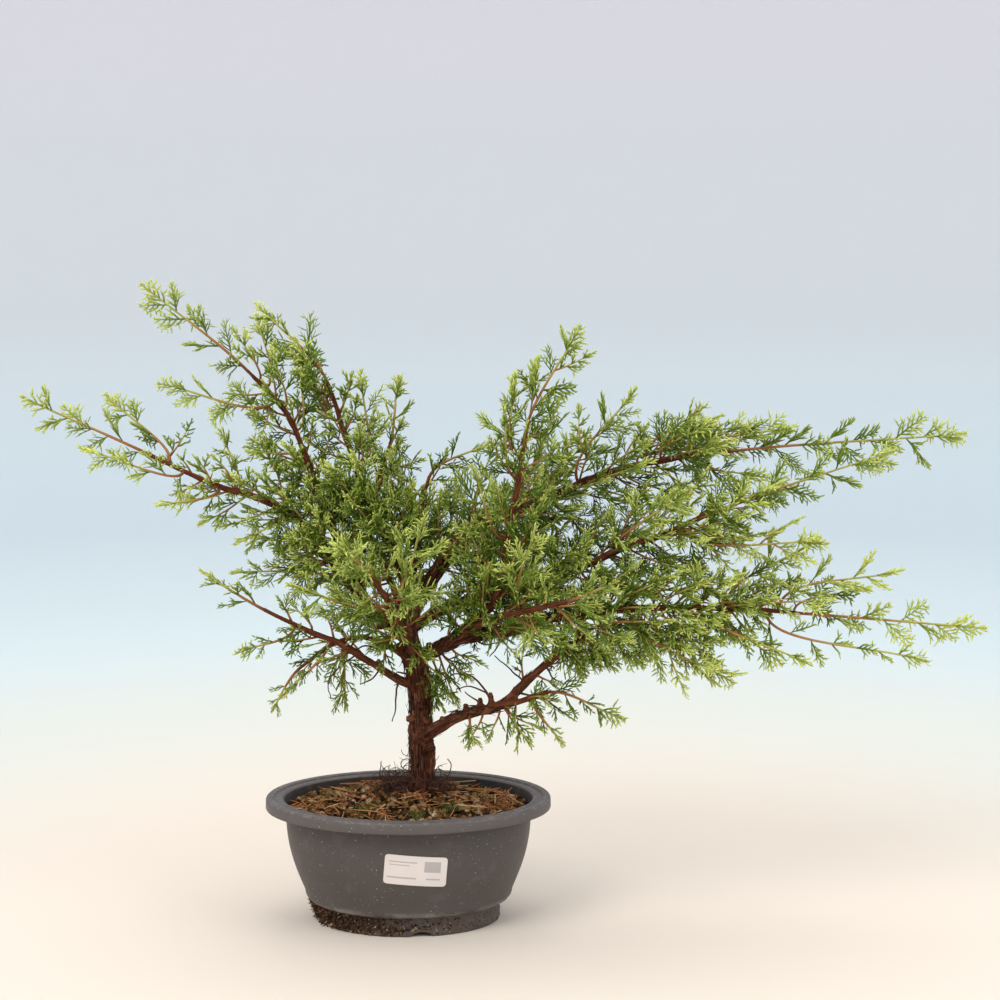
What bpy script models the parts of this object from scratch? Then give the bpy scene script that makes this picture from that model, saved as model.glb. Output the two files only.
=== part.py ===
"""Juniper bonsai in an oval plastic training pot, as separate solids. Metres, +Z up.

The pot stands on its foot ring and is filled with soil. The trunk and its limbs are one piece of
wood whose root stump sits in a pocket of the soil. Leafy shoots sit on the limbs, each one an axis
with flat fronds to both sides. All of it is placed with the pot's axis at x = y = 0 and then moved
by one empty, so that the origin is under the middle of the whole plant, on the surface it stands on.
"""

import math
import random

import bmesh
import bpy
import numpy as np
from mathutils import Matrix, Vector
from mathutils.bvhtree import BVHTree

# Pot: lengths run along X and depths along Y
POT_HEIGHT = 0.098
RIM_LENGTH = 0.225
RIM_DEPTH = 0.175
LIP_WIDTH = 0.0155
LIP_THICKNESS = 0.009
LIP_LAND = 0.006
LIP_STEP = 0.0012
LIP_EDGE = 0.001
SHOULDER_LENGTH = 0.164
SHOULDER_DEPTH = 0.128
SHOULDER_RISE = 0.009
FOOT_LENGTH = 0.144
FOOT_DEPTH = 0.112
FOOT_HEIGHT = 0.015
FOOT_WALL = 0.004
POT_WALL = 0.0025
POT_FLOOR = 0.003
FLOOR_DROP = 0.001
WALL_BULGE = 0.004
MOUTH_FLARE = 0.003
NOTCH_WIDTH = 0.020
NOTCH_HEIGHT = 0.004
NOTCH_X = 0.012
DRAIN_DIAMETER = 0.018
DRAIN_SPACING = 0.040
POT_SIDES = 48
WALL_STEPS = 5

# Label stuck on the front of the pot
LABEL_LENGTH = 0.050
LABEL_HEIGHT = 0.025
LABEL_THICKNESS = 0.0003
LABEL_GAP = 0.0004
LABEL_X = 0.008
LABEL_Z = 0.056
LABEL_TILT = math.radians(-3.0)

# Soil
SOIL_BELOW_RIM = 0.006
SOIL_CROWN = 0.010
SOIL_BUMP = 0.0012
SOIL_GAP = 0.0005
SOIL_SEED = 11
SOIL_RINGS = 6
STUMP_POCKET_TOP = 0.05

# Tree: one step of the limb and shoot tables below, and what the shoots are made of
TREE_STEP = 0.001
TRUNK_SIDES = 12
LIMB_SIDES = 8
LIMB_STATION = 0.018
SHOOT_WIDTH = 0.0022
SHOOT_THICKNESS = 0.0018
SHOOT_TIP_SHARE = 0.5
SHOOT_SEAT = 0.0006
SHOOT_LEAVE = 0.28
SHOOT_ARRIVE = 0.35
SHOOT_SWAYS = (0.0, 0.006, 0.012, 0.020)
SHOOT_ROLLS = (0.0, 0.6, -0.6, 1.2, -1.2)
SHOOT_STATION = 0.014
FROND_LENGTH = 0.030
FROND_WIDTH = 0.012
FROND_LEAN = 0.75
FROND_THICKNESS = 0.0020

CLEARANCE = 0.0003

# Limbs: (name, [(x, y, z, radius), ...]) in tree steps from where the trunk leaves the soil, at the
# pot's axis. The first one is the trunk, from its root stump up, and each other one starts inside
# the limb that it grew from.
LIMBS = [
    ("trunk", [(9, 0, -24, 16), (9, 0, -10, 16), (9, 0, 2, 13), (10, 0, 20, 10.5), (10, 0, 42, 9.5),
               (9, 0, 74, 9), (4, 0, 106, 8.5), (-2, 2, 134, 7)]),
    ("lower_right", [(10, 0, 38, 6), (22, -8, 48, 6), (37, -15, 60, 5.2), (55, -20, 67, 4.6),
                     (75, -25, 74, 4), (97, -30, 97, 3.2), (127, -35, 123, 2.6), (142, -38, 135, 2)]),
    ("lower_right_fork", [(64, -22, 70, 2.8), (84, -30, 76, 2.4), (109, -38, 86, 1.8)]),
    ("middle_right", [(4, 0, 104, 6), (20, -3, 112, 6), (40, -8, 122, 5.5), (61, -12, 127, 5),
                      (82, -15, 132, 4.5), (106, -20, 140, 4), (151, -28, 148, 3.2),
                      (190, -32, 151, 2.6), (255, -38, 151, 2), (300, -40, 148, 1.6)]),
    ("upright", [(22, -4, 113, 4.4), (34, -12, 122, 4.2), (52, -22, 138, 4), (70, -32, 160, 3.6),
                 (77, -35, 190, 3), (83, -37, 230, 2.5), (88, -38, 262, 2), (92, -38, 288, 1.6)]),
    ("upper_right", [(-2, 2, 130, 6), (8, 7, 148, 5.6), (26, 12, 178, 5), (49, 16, 205, 4.5),
                     (88, 22, 220, 4), (119, 26, 233, 3.5), (154, 30, 247, 3), (197, 34, 258, 2.4),
                     (255, 38, 265, 1.8)]),
    ("second_right", [(-1, 2, 124, 4.4), (26, 8, 142, 4.2), (68, 8, 156, 3.8), (119, 2, 170, 3.2),
                      (166, -2, 192, 2.8), (197, -4, 203, 2.4), (232, -6, 219, 1.8)]),
    ("far_left", [(0, 1, 120, 5), (-16, 4, 134, 4.8), (-38, 8, 154, 4.4), (-60, 8, 184, 4),
                  (-84, 4, 214, 3.4), (-111, 0, 230, 2.8), (-149, -6, 243, 2.2),
                  (-199, -14, 268, 1.6)]),
    ("upper_left", [(-36, 8, 152, 4), (-45, 14, 172, 3.8), (-57, 18, 200, 3.4), (-69, 20, 230, 3),
                    (-80, 20, 262, 2.6), (-96, 20, 298, 2.2), (-125, 18, 330, 1.6)]),
    ("second_upper_left", [(-2, 2, 130, 4.4), (0, 10, 152, 4.2), (-10, 18, 183, 3.8),
                           (-29, 26, 223, 3.2), (-44, 28, 262, 2.6), (-56, 28, 300, 2),
                           (-64, 27, 322, 1.6)]),
    ("pale_back", [(-25, 24, 214, 2), (-27, 44, 234, 2), (-22, 66, 252, 1.7), (-17, 84, 268, 1.4)]),
    ("pale_centre", [(0, 9, 150, 2.4), (8, 34, 192, 2.2), (10, 48, 222, 1.9), (16, 57, 244, 1.5)]),
    ("lower_left", [(6, 0, 84, 3.4), (-8, -8, 91, 3.3), (-30, -20, 108, 2.9), (-50, -28, 122, 2.5),
                    (-76, -36, 134, 2.1), (-108, -46, 152, 1.6)]),
    ("small_left", [(4, 0, 100, 2.4), (-12, -10, 116, 2.2), (-36, -20, 126, 1.9),
                    (-61, -28, 119, 1.6), (-84, -34, 102, 1.3)]),
    ("back_left", [(-1, 2, 126, 3.6), (-9, 30, 146, 3.2), (-20, 60, 168, 2.6), (-36, 94, 188, 1.8)]),
    ("back_right", [(6, 6, 144, 3.2), (32, 44, 176, 2.8), (58, 78, 198, 2.2), (84, 108, 214, 1.6)]),
    ("front_left", [(4, 0, 106, 3.6), (0, -28, 128, 3.2), (-10, -56, 156, 2.6), (-22, -86, 182, 1.8)]),
    ("front_right", [(44, -17, 130, 3), (68, -46, 144, 2.6), (96, -74, 156, 2.2), (122, -96, 166, 1.6)]),
]

# Leafy shoots: (name, limb, how far along it from 0 to 1, where the tip is in tree steps)
SHOOTS = [
    ("far_left_end", "far_left", 1.0, (-292, -32, 313)),
    ("far_left_top", "far_left", 0.93, (-236, 12, 312)),
    ("far_left_under", "far_left", 0.88, (-245, -52, 276)),
    ("left_high", "far_left", 0.70, (-150, 42, 282)),
    ("left_outer", "far_left", 0.76, (-186, -58, 232)),
    ("left_middle", "far_left", 0.55, (-128, -52, 202)),
    ("left_inner", "far_left", 0.34, (-142, 34, 168)),
    ("upper_left_end", "upper_left", 1.0, (-206, 10, 398)),
    ("upper_left_side", "upper_left", 0.84, (-188, -30, 323)),
    ("upper_left_under", "upper_left", 0.62, (-122, -22, 270)),
    ("upper_left_back", "upper_left", 0.50, (-112, 70, 250)),
    ("crown_left_end", "second_upper_left", 1.0, (-119, 20, 383)),
    ("crown_left_side", "second_upper_left", 0.84, (-95, 52, 348)),
    ("crown_left_right", "second_upper_left", 0.66, (-38, 42, 330)),
    ("crown_left_front", "second_upper_left", 0.50, (-66, -28, 262)),
    ("crown_left_low", "second_upper_left", 0.36, (8, -30, 246)),
    ("pale_back_end", "pale_back", 1.0, (-12, 114, 322)),
    ("pale_centre_end", "pale_centre", 1.0, (64, 60, 270)),
    ("lower_left_end", "lower_left", 1.0, (-154, -62, 184)),
    ("lower_left_under", "lower_left", 0.80, (-124, -88, 126)),
    ("lower_left_hanging", "lower_left", 0.58, (-96, -56, 84)),
    ("small_left_end", "small_left", 1.0, (-104, -36, 70)),
    ("small_left_hanging", "small_left", 0.62, (-50, 8, 62)),
    ("back_left_end", "back_left", 1.0, (-60, 150, 226)),
    ("back_left_side", "back_left", 0.62, (-104, 116, 186)),
    ("back_right_end", "back_right", 1.0, (122, 146, 238)),
    ("back_right_side", "back_right", 0.62, (34, 140, 232)),
    ("front_left_end", "front_left", 1.0, (-46, -136, 214)),
    ("front_left_side", "front_left", 0.64, (-84, -102, 180)),
    ("front_left_top", "front_left", 0.76, (18, -112, 232)),
    ("front_right_end", "front_right", 1.0, (158, -128, 186)),
    ("front_right_top", "front_right", 0.60, (98, -104, 222)),
    ("upright_end", "upright", 1.0, (134, -30, 367)),
    ("upright_left", "upright", 0.82, (75, -56, 309)),
    ("upright_right", "upright", 0.78, (120, 4, 312)),
    ("upright_low_left", "upright", 0.58, (52, -66, 264)),
    ("upper_right_low", "upper_right", 0.46, (138, 62, 280)),
    ("upper_right_top", "upper_right", 0.60, (181, 46, 315)),
    ("upper_right_middle", "upper_right", 0.78, (237, 44, 302)),
    ("upper_right_outer", "upper_right", 0.93, (310, 56, 284)),
    ("upper_right_end", "upper_right", 1.0, (442, 36, 279)),
    ("second_right_end", "second_right", 1.0, (377, -10, 270)),
    ("second_right_under", "second_right", 0.92, (320, -56, 204)),
    ("second_right_front", "second_right", 0.70, (218, -50, 246)),
    ("second_right_back", "second_right", 0.60, (196, 70, 200)),
    ("middle_right_end", "middle_right", 1.0, (442, -50, 138)),
    ("middle_right_outer_top", "middle_right", 0.95, (380, -44, 182)),
    ("middle_right_outer_under", "middle_right", 0.92, (394, -76, 117)),
    ("middle_right_top", "middle_right", 0.82, (319, -16, 202)),
    ("middle_right_under", "middle_right", 0.78, (304, -90, 117)),
    ("middle_right_inner", "middle_right", 0.58, (250, -64, 98)),
    ("middle_right_back", "middle_right", 0.50, (214, 18, 112)),
    ("lower_right_end", "lower_right", 1.0, (206, -64, 146)),
    ("lower_right_fork_end", "lower_right_fork", 1.0, (168, -52, 67)),
    ("lower_right_under", "lower_right_fork", 0.72, (122, -56, 48)),
    ("lower_right_inner", "lower_right", 0.30, (53, -62, 50)),
]


def clear_scene():
    for obj in list(bpy.data.objects):
        bpy.data.objects.remove(obj)


def material(name, colour, roughness):
    made = bpy.data.materials.new(name)
    made.use_nodes = True
    shader = made.node_tree.nodes["Principled BSDF"]
    shader.inputs["Base Color"].default_value = (*colour, 1.0)
    shader.inputs["Roughness"].default_value = roughness
    shader.inputs["Metallic"].default_value = 0.0
    made.diffuse_color = (*colour, 1.0)
    return made


def solid(name, bm, mat, parent, helper=False):
    """An object of a closed bmesh, with its faces turned outwards."""
    bmesh.ops.recalc_face_normals(bm, faces=bm.faces)
    mesh = bpy.data.meshes.new(name)
    bm.to_mesh(mesh)
    bm.free()
    mesh.materials.append(mat)
    mesh.shade_smooth()
    mesh.set_sharp_from_angle(angle=math.radians(35))
    obj = bpy.data.objects.new(name, mesh)
    bpy.context.scene.collection.objects.link(obj)
    obj.parent = parent
    if helper:
        obj.hide_render = True
        obj.display_type = "WIRE"
    return obj


def apply_modifiers(obj):
    """The object's evaluated mesh takes the place of its own, and its modifiers go."""
    graph = bpy.context.evaluated_depsgraph_get()
    mesh = bpy.data.meshes.new_from_object(obj.evaluated_get(graph))
    obj.modifiers.clear()
    obj.data = mesh


def boolean(obj, cutter, operation):
    modifier = obj.modifiers.new(f"{operation} {cutter.name}".lower(), "BOOLEAN")
    modifier.operation = operation
    modifier.solver = "EXACT"
    modifier.object = cutter


def oval(half_length, half_depth, z, sides=POT_SIDES):
    turn = 2 * math.pi / sides
    return [
        Vector((half_length * math.cos(turn * i), half_depth * math.sin(turn * i), z))
        for i in range(sides)
    ]


def loft(rings):
    """A closed skin over rings of points, where a ring of one point is a pole."""
    bm = bmesh.new()
    rows = [[bm.verts.new(point) for point in ring] for ring in rings]
    for low, high in zip(rows, rows[1:]):
        sides = max(len(low), len(high))
        for i in range(sides):
            j = (i + 1) % sides
            corners = [low[i % len(low)], low[j % len(low)], high[j % len(high)], high[i % len(high)]]
            bm.faces.new(list(dict.fromkeys(corners)))
    return bm


# Pot


def wall_outline():
    """Outside of the wall from the shoulder up to the lip: (height, half length, half depth)."""
    low = FOOT_HEIGHT + SHOULDER_RISE
    high = POT_HEIGHT - LIP_THICKNESS
    ends = (
        (SHOULDER_LENGTH / 2, RIM_LENGTH / 2 - LIP_WIDTH),
        (SHOULDER_DEPTH / 2, RIM_DEPTH / 2 - LIP_WIDTH),
    )
    rows = []
    for step in range(WALL_STEPS + 1):
        share = step / WALL_STEPS
        bulge = WALL_BULGE * math.sin(math.pi * share)
        halves = [start + (end - start) * share + bulge for start, end in ends]
        rows.append((low + (high - low) * share, *halves))
    return rows


def inside_outline():
    """Inside of the pot from the floor's edge up to the mouth: (height, half length, half depth)."""
    floor = FOOT_HEIGHT - FLOOR_DROP + POT_FLOOR
    corner = FOOT_HEIGHT + SHOULDER_RISE / 2 + POT_WALL / 2
    wall = wall_outline()
    rows = [
        (floor, FOOT_LENGTH / 2 - POT_WALL, FOOT_DEPTH / 2 - POT_WALL),
        (
            corner,
            (FOOT_LENGTH + SHOULDER_LENGTH) / 4 - POT_WALL / 2,
            (FOOT_DEPTH + SHOULDER_DEPTH) / 4 - POT_WALL / 2,
        ),
    ]
    rows += [(z, half_x - POT_WALL, half_y - POT_WALL) for z, half_x, half_y in wall]
    _, top_x, top_y = rows[-1]
    rows.append((POT_HEIGHT - LIP_STEP, top_x + MOUTH_FLARE, top_y + MOUTH_FLARE))
    return rows


def inside_at(z):
    """Half length and half depth of the pot's inside at a height, on its flat facets."""
    heights, lengths, depths = zip(*inside_outline())
    return float(np.interp(z, heights, lengths)), float(np.interp(z, heights, depths))


def outside_at(z):
    heights, lengths, depths = zip(*wall_outline())
    return float(np.interp(z, heights, lengths)), float(np.interp(z, heights, depths))


def rim_oval(inset, z):
    return oval(RIM_LENGTH / 2 - inset, RIM_DEPTH / 2 - inset, z)


def make_pot(parent):
    under = FOOT_HEIGHT - FLOOR_DROP
    foot = (FOOT_LENGTH / 2, FOOT_DEPTH / 2)
    inner_foot = (foot[0] - FOOT_WALL, foot[1] - FOOT_WALL)
    knuckle = (
        (foot[0] + 3 * SHOULDER_LENGTH / 2) / 4,
        (foot[1] + 3 * SHOULDER_DEPTH / 2) / 4,
    )
    lip_top = POT_HEIGHT
    lip_low = POT_HEIGHT - LIP_THICKNESS
    rings = [
        [Vector((0, 0, under))],
        oval(*inner_foot, under),
        oval(*inner_foot, 0.0),
        oval(*foot, 0.0),
        oval(*foot, FOOT_HEIGHT),
        oval(*knuckle, FOOT_HEIGHT + SHOULDER_RISE / 3),
    ]
    rings += [oval(half_x, half_y, z) for z, half_x, half_y in wall_outline()]
    rings += [
        rim_oval(LIP_EDGE, lip_low),
        rim_oval(0.0, lip_low + LIP_EDGE),
        rim_oval(0.0, lip_top - LIP_EDGE),
        rim_oval(LIP_EDGE, lip_top),
        rim_oval(LIP_LAND, lip_top),
        rim_oval(LIP_LAND + LIP_STEP, lip_top - LIP_STEP),
    ]
    rings += [oval(half_x, half_y, z) for z, half_x, half_y in reversed(inside_outline())]
    rings.append([Vector((0, 0, inside_outline()[0][0]))])
    grey = material("pot_plastic", (0.055, 0.052, 0.053), 0.55)
    pot = solid("pot", loft(rings), grey, parent)
    for cutter in pot_cutters(parent, grey):
        boolean(pot, cutter, "DIFFERENCE")
    return pot


def cylinder(name, radius, length, matrix, mat, parent):
    """A cutter, turned a little about its axis so that none of its edges lies on one of the pot's."""
    bm = bmesh.new()
    turned = matrix @ Matrix.Rotation(math.radians(2.3), 4, "Z")
    bmesh.ops.create_cone(
        bm, cap_ends=True, segments=32, radius1=radius, radius2=radius, depth=length, matrix=turned
    )
    return solid(name, bm, mat, parent, helper=True)


def pot_cutters(parent, mat):
    """An arched notch through the front and back of the foot ring, and a row of drain holes."""
    notch_radius = (NOTCH_WIDTH**2 / 4 + NOTCH_HEIGHT**2) / (2 * NOTCH_HEIGHT)
    place = Matrix.Translation((NOTCH_X, 0, NOTCH_HEIGHT - notch_radius))
    lying = place @ Matrix.Rotation(math.radians(90), 4, "X")
    cutters = [cylinder("foot_notch", notch_radius, 2 * FOOT_DEPTH, lying, mat, parent)]
    for step in (-1, 0, 1):
        upright = Matrix.Translation((step * DRAIN_SPACING, 0, FOOT_HEIGHT))
        name = f"drain_hole_{step + 2}"
        cutters.append(cylinder(name, DRAIN_DIAMETER / 2, FOOT_HEIGHT, upright, mat, parent))
    return cutters


def make_label(parent):
    """A thin sheet that follows the wall, just in front of it."""
    columns, rows = 12, 6
    bm = bmesh.new()
    grids = []
    for lift in (LABEL_GAP, LABEL_GAP + LABEL_THICKNESS):
        grid = []
        for row in range(rows + 1):
            line = []
            for column in range(columns + 1):
                u = (column / columns - 0.5) * LABEL_LENGTH
                v = (row / rows - 0.5) * LABEL_HEIGHT
                x = LABEL_X + u * math.cos(LABEL_TILT) - v * math.sin(LABEL_TILT)
                z = LABEL_Z + u * math.sin(LABEL_TILT) + v * math.cos(LABEL_TILT)
                half_x, half_y = outside_at(z)
                line.append(bm.verts.new((x, -half_y * math.sqrt(1 - (x / half_x) ** 2) - lift, z)))
            grid.append(line)
        grids.append(grid)
    inner, outer = grids
    for grid in grids:
        for row in range(rows):
            for column in range(columns):
                low, high = grid[row], grid[row + 1]
                bm.faces.new((low[column], low[column + 1], high[column + 1], high[column]))
    border = [(0, c) for c in range(columns)] + [(r, columns) for r in range(rows)]
    border += [(rows, c) for c in range(columns, 0, -1)] + [(r, 0) for r in range(rows, 0, -1)]
    for (r0, c0), (r1, c1) in zip(border, border[1:] + border[:1]):
        bm.faces.new((inner[r0][c0], inner[r1][c1], outer[r1][c1], outer[r0][c0]))
    return solid("label", bm, material("label_paper", (0.84, 0.76, 0.73), 0.6), parent)


# Soil


def soil_edge():
    return POT_HEIGHT - SOIL_BELOW_RIM


def soil_top():
    """Height where the trunk leaves the soil."""
    return soil_edge() + SOIL_CROWN


def make_soil(parent, stump):
    edge = soil_edge()
    profile = [row for row in inside_outline() if row[0] < edge]
    profile.append((edge, *inside_at(edge)))
    floor = profile[0][0] + CLEARANCE
    rings = [[Vector((0, 0, floor))]]
    for index, (z, half_x, half_y) in enumerate(profile):
        height = floor if index == 0 else z
        rings.append(oval(half_x - SOIL_GAP, half_y - SOIL_GAP, height))
    rng = random.Random(SOIL_SEED)
    edge_x, edge_y = inside_at(edge)
    for ring in range(1, SOIL_RINGS):
        share = 1 - ring / SOIL_RINGS
        height = edge + SOIL_CROWN * (1 - share**2)
        points = oval((edge_x - SOIL_GAP) * share, (edge_y - SOIL_GAP) * share, height)
        for point in points:
            point.z += rng.uniform(-SOIL_BUMP, SOIL_BUMP)
        rings.append(points)
    rings.append([Vector((0, 0, soil_top()))])
    earth = material("soil_granules", (0.16, 0.085, 0.04), 0.9)
    soil = solid("soil", loft(rings), earth, parent)
    boolean(soil, stump, "DIFFERENCE")
    return soil


# Wood


def smooth_path(points, spacing):
    """Points and widths along a Catmull-Rom curve through rows of numbers, about a spacing apart."""
    rows = np.array(points, float)
    padded = np.vstack([2 * rows[0] - rows[1], rows, 2 * rows[-1] - rows[-2]])
    out = [rows[0]]
    for i in range(1, len(padded) - 2):
        a, b, c, d = padded[i - 1 : i + 3]
        count = max(1, round(float(np.linalg.norm(c[:3] - b[:3])) / spacing))
        for step in range(1, count + 1):
            t = step / count
            out.append(
                0.5 * (2 * b + (c - a) * t + (2 * a - 5 * b + 4 * c - d) * t**2
                       + (3 * b - a - 3 * c + d) * t**3)
            )
    return np.array(out)


def frames(path, side_hint):
    """Along, side and up directions at each point of a path, carried along without twisting."""
    count = len(path)
    result = []
    side = Vector(side_hint)
    for i in range(count):
        along = Vector(path[min(i + 1, count - 1)] - path[max(i - 1, 0)]).normalized()
        side = (side - along * side.dot(along)).normalized()
        result.append((along, side, along.cross(side)))
    return result


def placed(row):
    """A table row in tree steps as metres, on the pot's axis where the trunk leaves the soil."""
    scaled = [value * TREE_STEP for value in row]
    scaled[2] += soil_top()
    return scaled


def limb_path(name):
    return smooth_path([placed(row) for row in dict(LIMBS)[name]], LIMB_STATION)


def tube(path, sides, extra=0.0):
    rings = []
    for (along, side, up), row in zip(frames(path[:, :3], (0.31, 0.93, 0.17)), path):
        centre = Vector(row[:3])
        turn = 2 * math.pi / sides
        rings.append(
            [
                centre + (side * math.cos(turn * i) + up * math.sin(turn * i)) * (row[3] + extra)
                for i in range(sides)
            ]
        )
    first, last = Vector(path[0, :3]), Vector(path[-1, :3])
    return loft([[first]] + rings + [[last]])


def make_wood(parent):
    """The trunk with every limb, joined into one solid."""
    bark = material("bark", (0.19, 0.075, 0.045), 0.85)
    wood = solid("trunk_and_limbs", tube(limb_path("trunk"), TRUNK_SIDES), bark, parent)
    helpers = []
    for name, _ in LIMBS[1:]:
        limb = solid(f"limb_{name}", tube(limb_path(name), LIMB_SIDES), bark, parent, helper=True)
        boolean(wood, limb, "UNION")
        helpers.append(limb)
    apply_modifiers(wood)
    for limb in helpers:
        bpy.data.objects.remove(limb)
    return wood


def make_stump_pocket(parent, mat):
    """The root stump grown by the clearance, which cuts its pocket into the soil."""
    path = limb_path("trunk")
    path = path[path[:, 2] < soil_top() + STUMP_POCKET_TOP]
    path[0, 2] -= CLEARANCE
    return solid("stump_pocket", tube(path, TRUNK_SIDES, CLEARANCE), mat, parent, helper=True)


# Leafy shoots


def point_along(path, share):
    """Centre, direction and radius at a share of a path's length."""
    steps = np.linalg.norm(np.diff(path[:, :3], axis=0), axis=1)
    distance = np.concatenate([[0.0], np.cumsum(steps)])
    at = share * distance[-1]
    row = [float(np.interp(at, distance, path[:, k])) for k in range(4)]
    i = min(int(np.searchsorted(distance, at, side="right")), len(path) - 1)
    return Vector(row[:3]), Vector(path[i, :3] - path[i - 1, :3]).normalized(), row[3]


def shoot_axis(limb, share, tip, sway, wood):
    """The shoot's path from just off the limb to its tip, leaving the limb squarely."""
    centre, along, radius = point_along(limb, share)
    tip = Vector(placed(tip))
    if share >= 1.0:
        leave = along
        base = centre + along * CLEARANCE
    else:
        leave = tip - centre
        leave = (leave - along * leave.dot(along)).normalized()
        base = centre + leave * (radius + CLEARANCE)
    while wood.find_nearest(base)[3] < SHOOT_SEAT:
        base += leave * CLEARANCE / 4
    reach = (tip - base).length
    handle = base + leave * reach * SHOOT_LEAVE
    before_tip = tip + (base - tip) * SHOOT_ARRIVE + sway
    count = max(4, round(reach / SHOOT_STATION))
    path = []
    for i in range(count + 1):
        t = i / count
        weights = ((1 - t) ** 3, 3 * t * (1 - t) ** 2, 3 * t**2 * (1 - t), t**3)
        corners = (base, handle, before_tip, tip)
        path.append(sum((corner * weight for corner, weight in zip(corners, weights)), Vector()))
    return path


def shoot_mesh(path, roll, kept, grow=0.0):
    """The shoot as a bmesh, with the frond that each of its faces belongs to, or None.

    The axis is a tapered bar of four sides. A kept frond leaves one of its side faces, widens and
    ends in an edge.
    """
    turned = frames([np.array(p) for p in path], (0.1, 0.2, 1.0))
    bm = bmesh.new()
    rows = []
    count = len(path)
    for i, (point, (along, side, up)) in enumerate(zip(path, turned)):
        across = side * math.cos(roll) + up * math.sin(roll)
        over = up * math.cos(roll) - side * math.sin(roll)
        taper = 1 - (1 - SHOOT_TIP_SHARE) * i / (count - 1)
        half_w = SHOOT_WIDTH / 2 * taper + grow
        half_t = SHOOT_THICKNESS / 2 * taper + grow
        rows.append(
            [
                bm.verts.new(point + across * half_w * a + over * half_t * b)
                for a, b in ((-1, -1), (1, -1), (1, 1), (-1, 1))
            ]
        )
    owners = []

    def face(corners, owner):
        bm.faces.new(corners)
        owners.append(owner)

    face(rows[0], None)
    face(rows[-1], None)
    for i in range(count - 1):
        low, high = rows[i], rows[i + 1]
        for k in range(4):
            m = (k + 1) % 4
            frond = i if k == (1 if i % 2 else 3) and i in kept else None
            if frond is None:
                face((low[k], low[m], high[m], high[k]), None)
                continue
            along, side, up = turned[i]
            across = (side * math.cos(roll) + up * math.sin(roll)) * (1 if k == 1 else -1)
            over = up * math.cos(roll) - side * math.sin(roll)
            size = math.sin(math.pi * (0.22 + 0.62 * i / count))
            middle = (path[i] + path[i + 1]) / 2
            lean = (across + along * FROND_LEAN).normalized()
            turn_over = 1 if k == 1 else -1
            half_w = FROND_WIDTH * size / 2 + grow
            half_t = FROND_THICKNESS / 2 + grow
            wide = middle + lean * FROND_LENGTH * size * 0.5
            end = middle + lean * (FROND_LENGTH * size + grow)
            ring = [
                bm.verts.new(wide + along * half_w * a + over * half_t * b * turn_over)
                for a, b in ((-1, -1), (-1, 1), (1, 1), (1, -1))
            ]
            edge = [bm.verts.new(end + over * half_t * 0.5 * b * turn_over) for b in (-1, 1)]
            base = [low[k], low[m], high[m], high[k]]
            for n in range(4):
                face((base[n], base[(n + 1) % 4], ring[(n + 1) % 4], ring[n]), frond)
            face((ring[0], ring[1], edge[1], edge[0]), frond)
            face((ring[2], ring[3], edge[0], edge[1]), frond)
            face((ring[1], ring[2], edge[1]), frond)
            face((ring[3], ring[0], edge[0]), frond)
    return bm, owners


def blocked(path, roll, kept, neighbours):
    """The fronds, with None for the axis, that a slightly grown shoot would push into its neighbours."""
    bm, owners = shoot_mesh(path, roll, kept, grow=CLEARANCE)
    tree = BVHTree.FromBMesh(bm)
    bm.free()
    return {owners[face] for other in neighbours for face, _ in tree.overlap(other)}


def fit_shoot(limb, share, tip, neighbours):
    """The path, roll and fronds of the fullest shoot that is clear of its neighbours, the wood first."""
    best = None
    for reach in SHOOT_SWAYS:
        for heading in range(1 if reach == 0.0 else 6):
            angle = heading * math.pi / 3
            sway = Vector((math.cos(angle), math.sin(angle), 0.4 * math.cos(2 * angle))) * reach
            path = shoot_axis(limb, share, tip, sway, neighbours[0])
            wanted = set(range(1, len(path) - 2))
            for roll in SHOOT_ROLLS:
                hit = blocked(path, roll, wanted, neighbours)
                if None in hit:
                    continue
                kept = wanted - hit
                if best is None or len(kept) > len(best[2]):
                    best = (path, roll, kept)
                if len(kept) == len(wanted):
                    return best
    return best


def make_shoots(parent, wood):
    bm = bmesh.new()
    bm.from_mesh(wood.data)
    neighbours = [BVHTree.FromBMesh(bm)]
    bm.free()
    leaf = material("juniper_leaf", (0.12, 0.26, 0.035), 0.6)
    for name, limb, share, tip in SHOOTS:
        path, roll, kept = fit_shoot(limb_path(limb), share, tip, neighbours)
        bm, _ = shoot_mesh(path, roll, kept)
        neighbours.append(BVHTree.FromBMesh(bm))
        solid(f"shoot_{name}", bm, leaf, parent)


def centre_on_origin(parent):
    """Moves all of it so that the origin is at the middle of its box's underside."""
    bpy.context.view_layer.update()
    graph = bpy.context.evaluated_depsgraph_get()
    corners = []
    for obj in bpy.context.scene.objects:
        if obj.type == "MESH" and not obj.hide_render:
            evaluated = obj.evaluated_get(graph)
            corners += [evaluated.matrix_world @ Vector(corner) for corner in evaluated.bound_box]
    corners = np.array(corners)
    low, high = corners.min(axis=0), corners.max(axis=0)
    parent.location = (-(low[0] + high[0]) / 2, -(low[1] + high[1]) / 2, -low[2])


def main():
    clear_scene()
    plant = bpy.data.objects.new("plant_origin", None)
    bpy.context.scene.collection.objects.link(plant)
    make_pot(plant)
    make_label(plant)
    wood = make_wood(plant)
    make_soil(plant, make_stump_pocket(plant, wood.data.materials[0]))
    make_shoots(plant, wood)
    centre_on_origin(plant)


main()
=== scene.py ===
# %% [markdown]
# A juniper bonsai in an oval plastic training pot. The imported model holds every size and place. This
# script loads it, keeps its box, and builds the fine surfaces around it: a moulded pot, a bed of clay
# granules with litter and moss, fibrous red-brown wood and some thousands of scale-leaved twigs.

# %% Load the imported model
import math
import random

import bpy
import numpy as np
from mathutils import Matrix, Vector, noise
from mathutils.kdtree import KDTree


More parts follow.
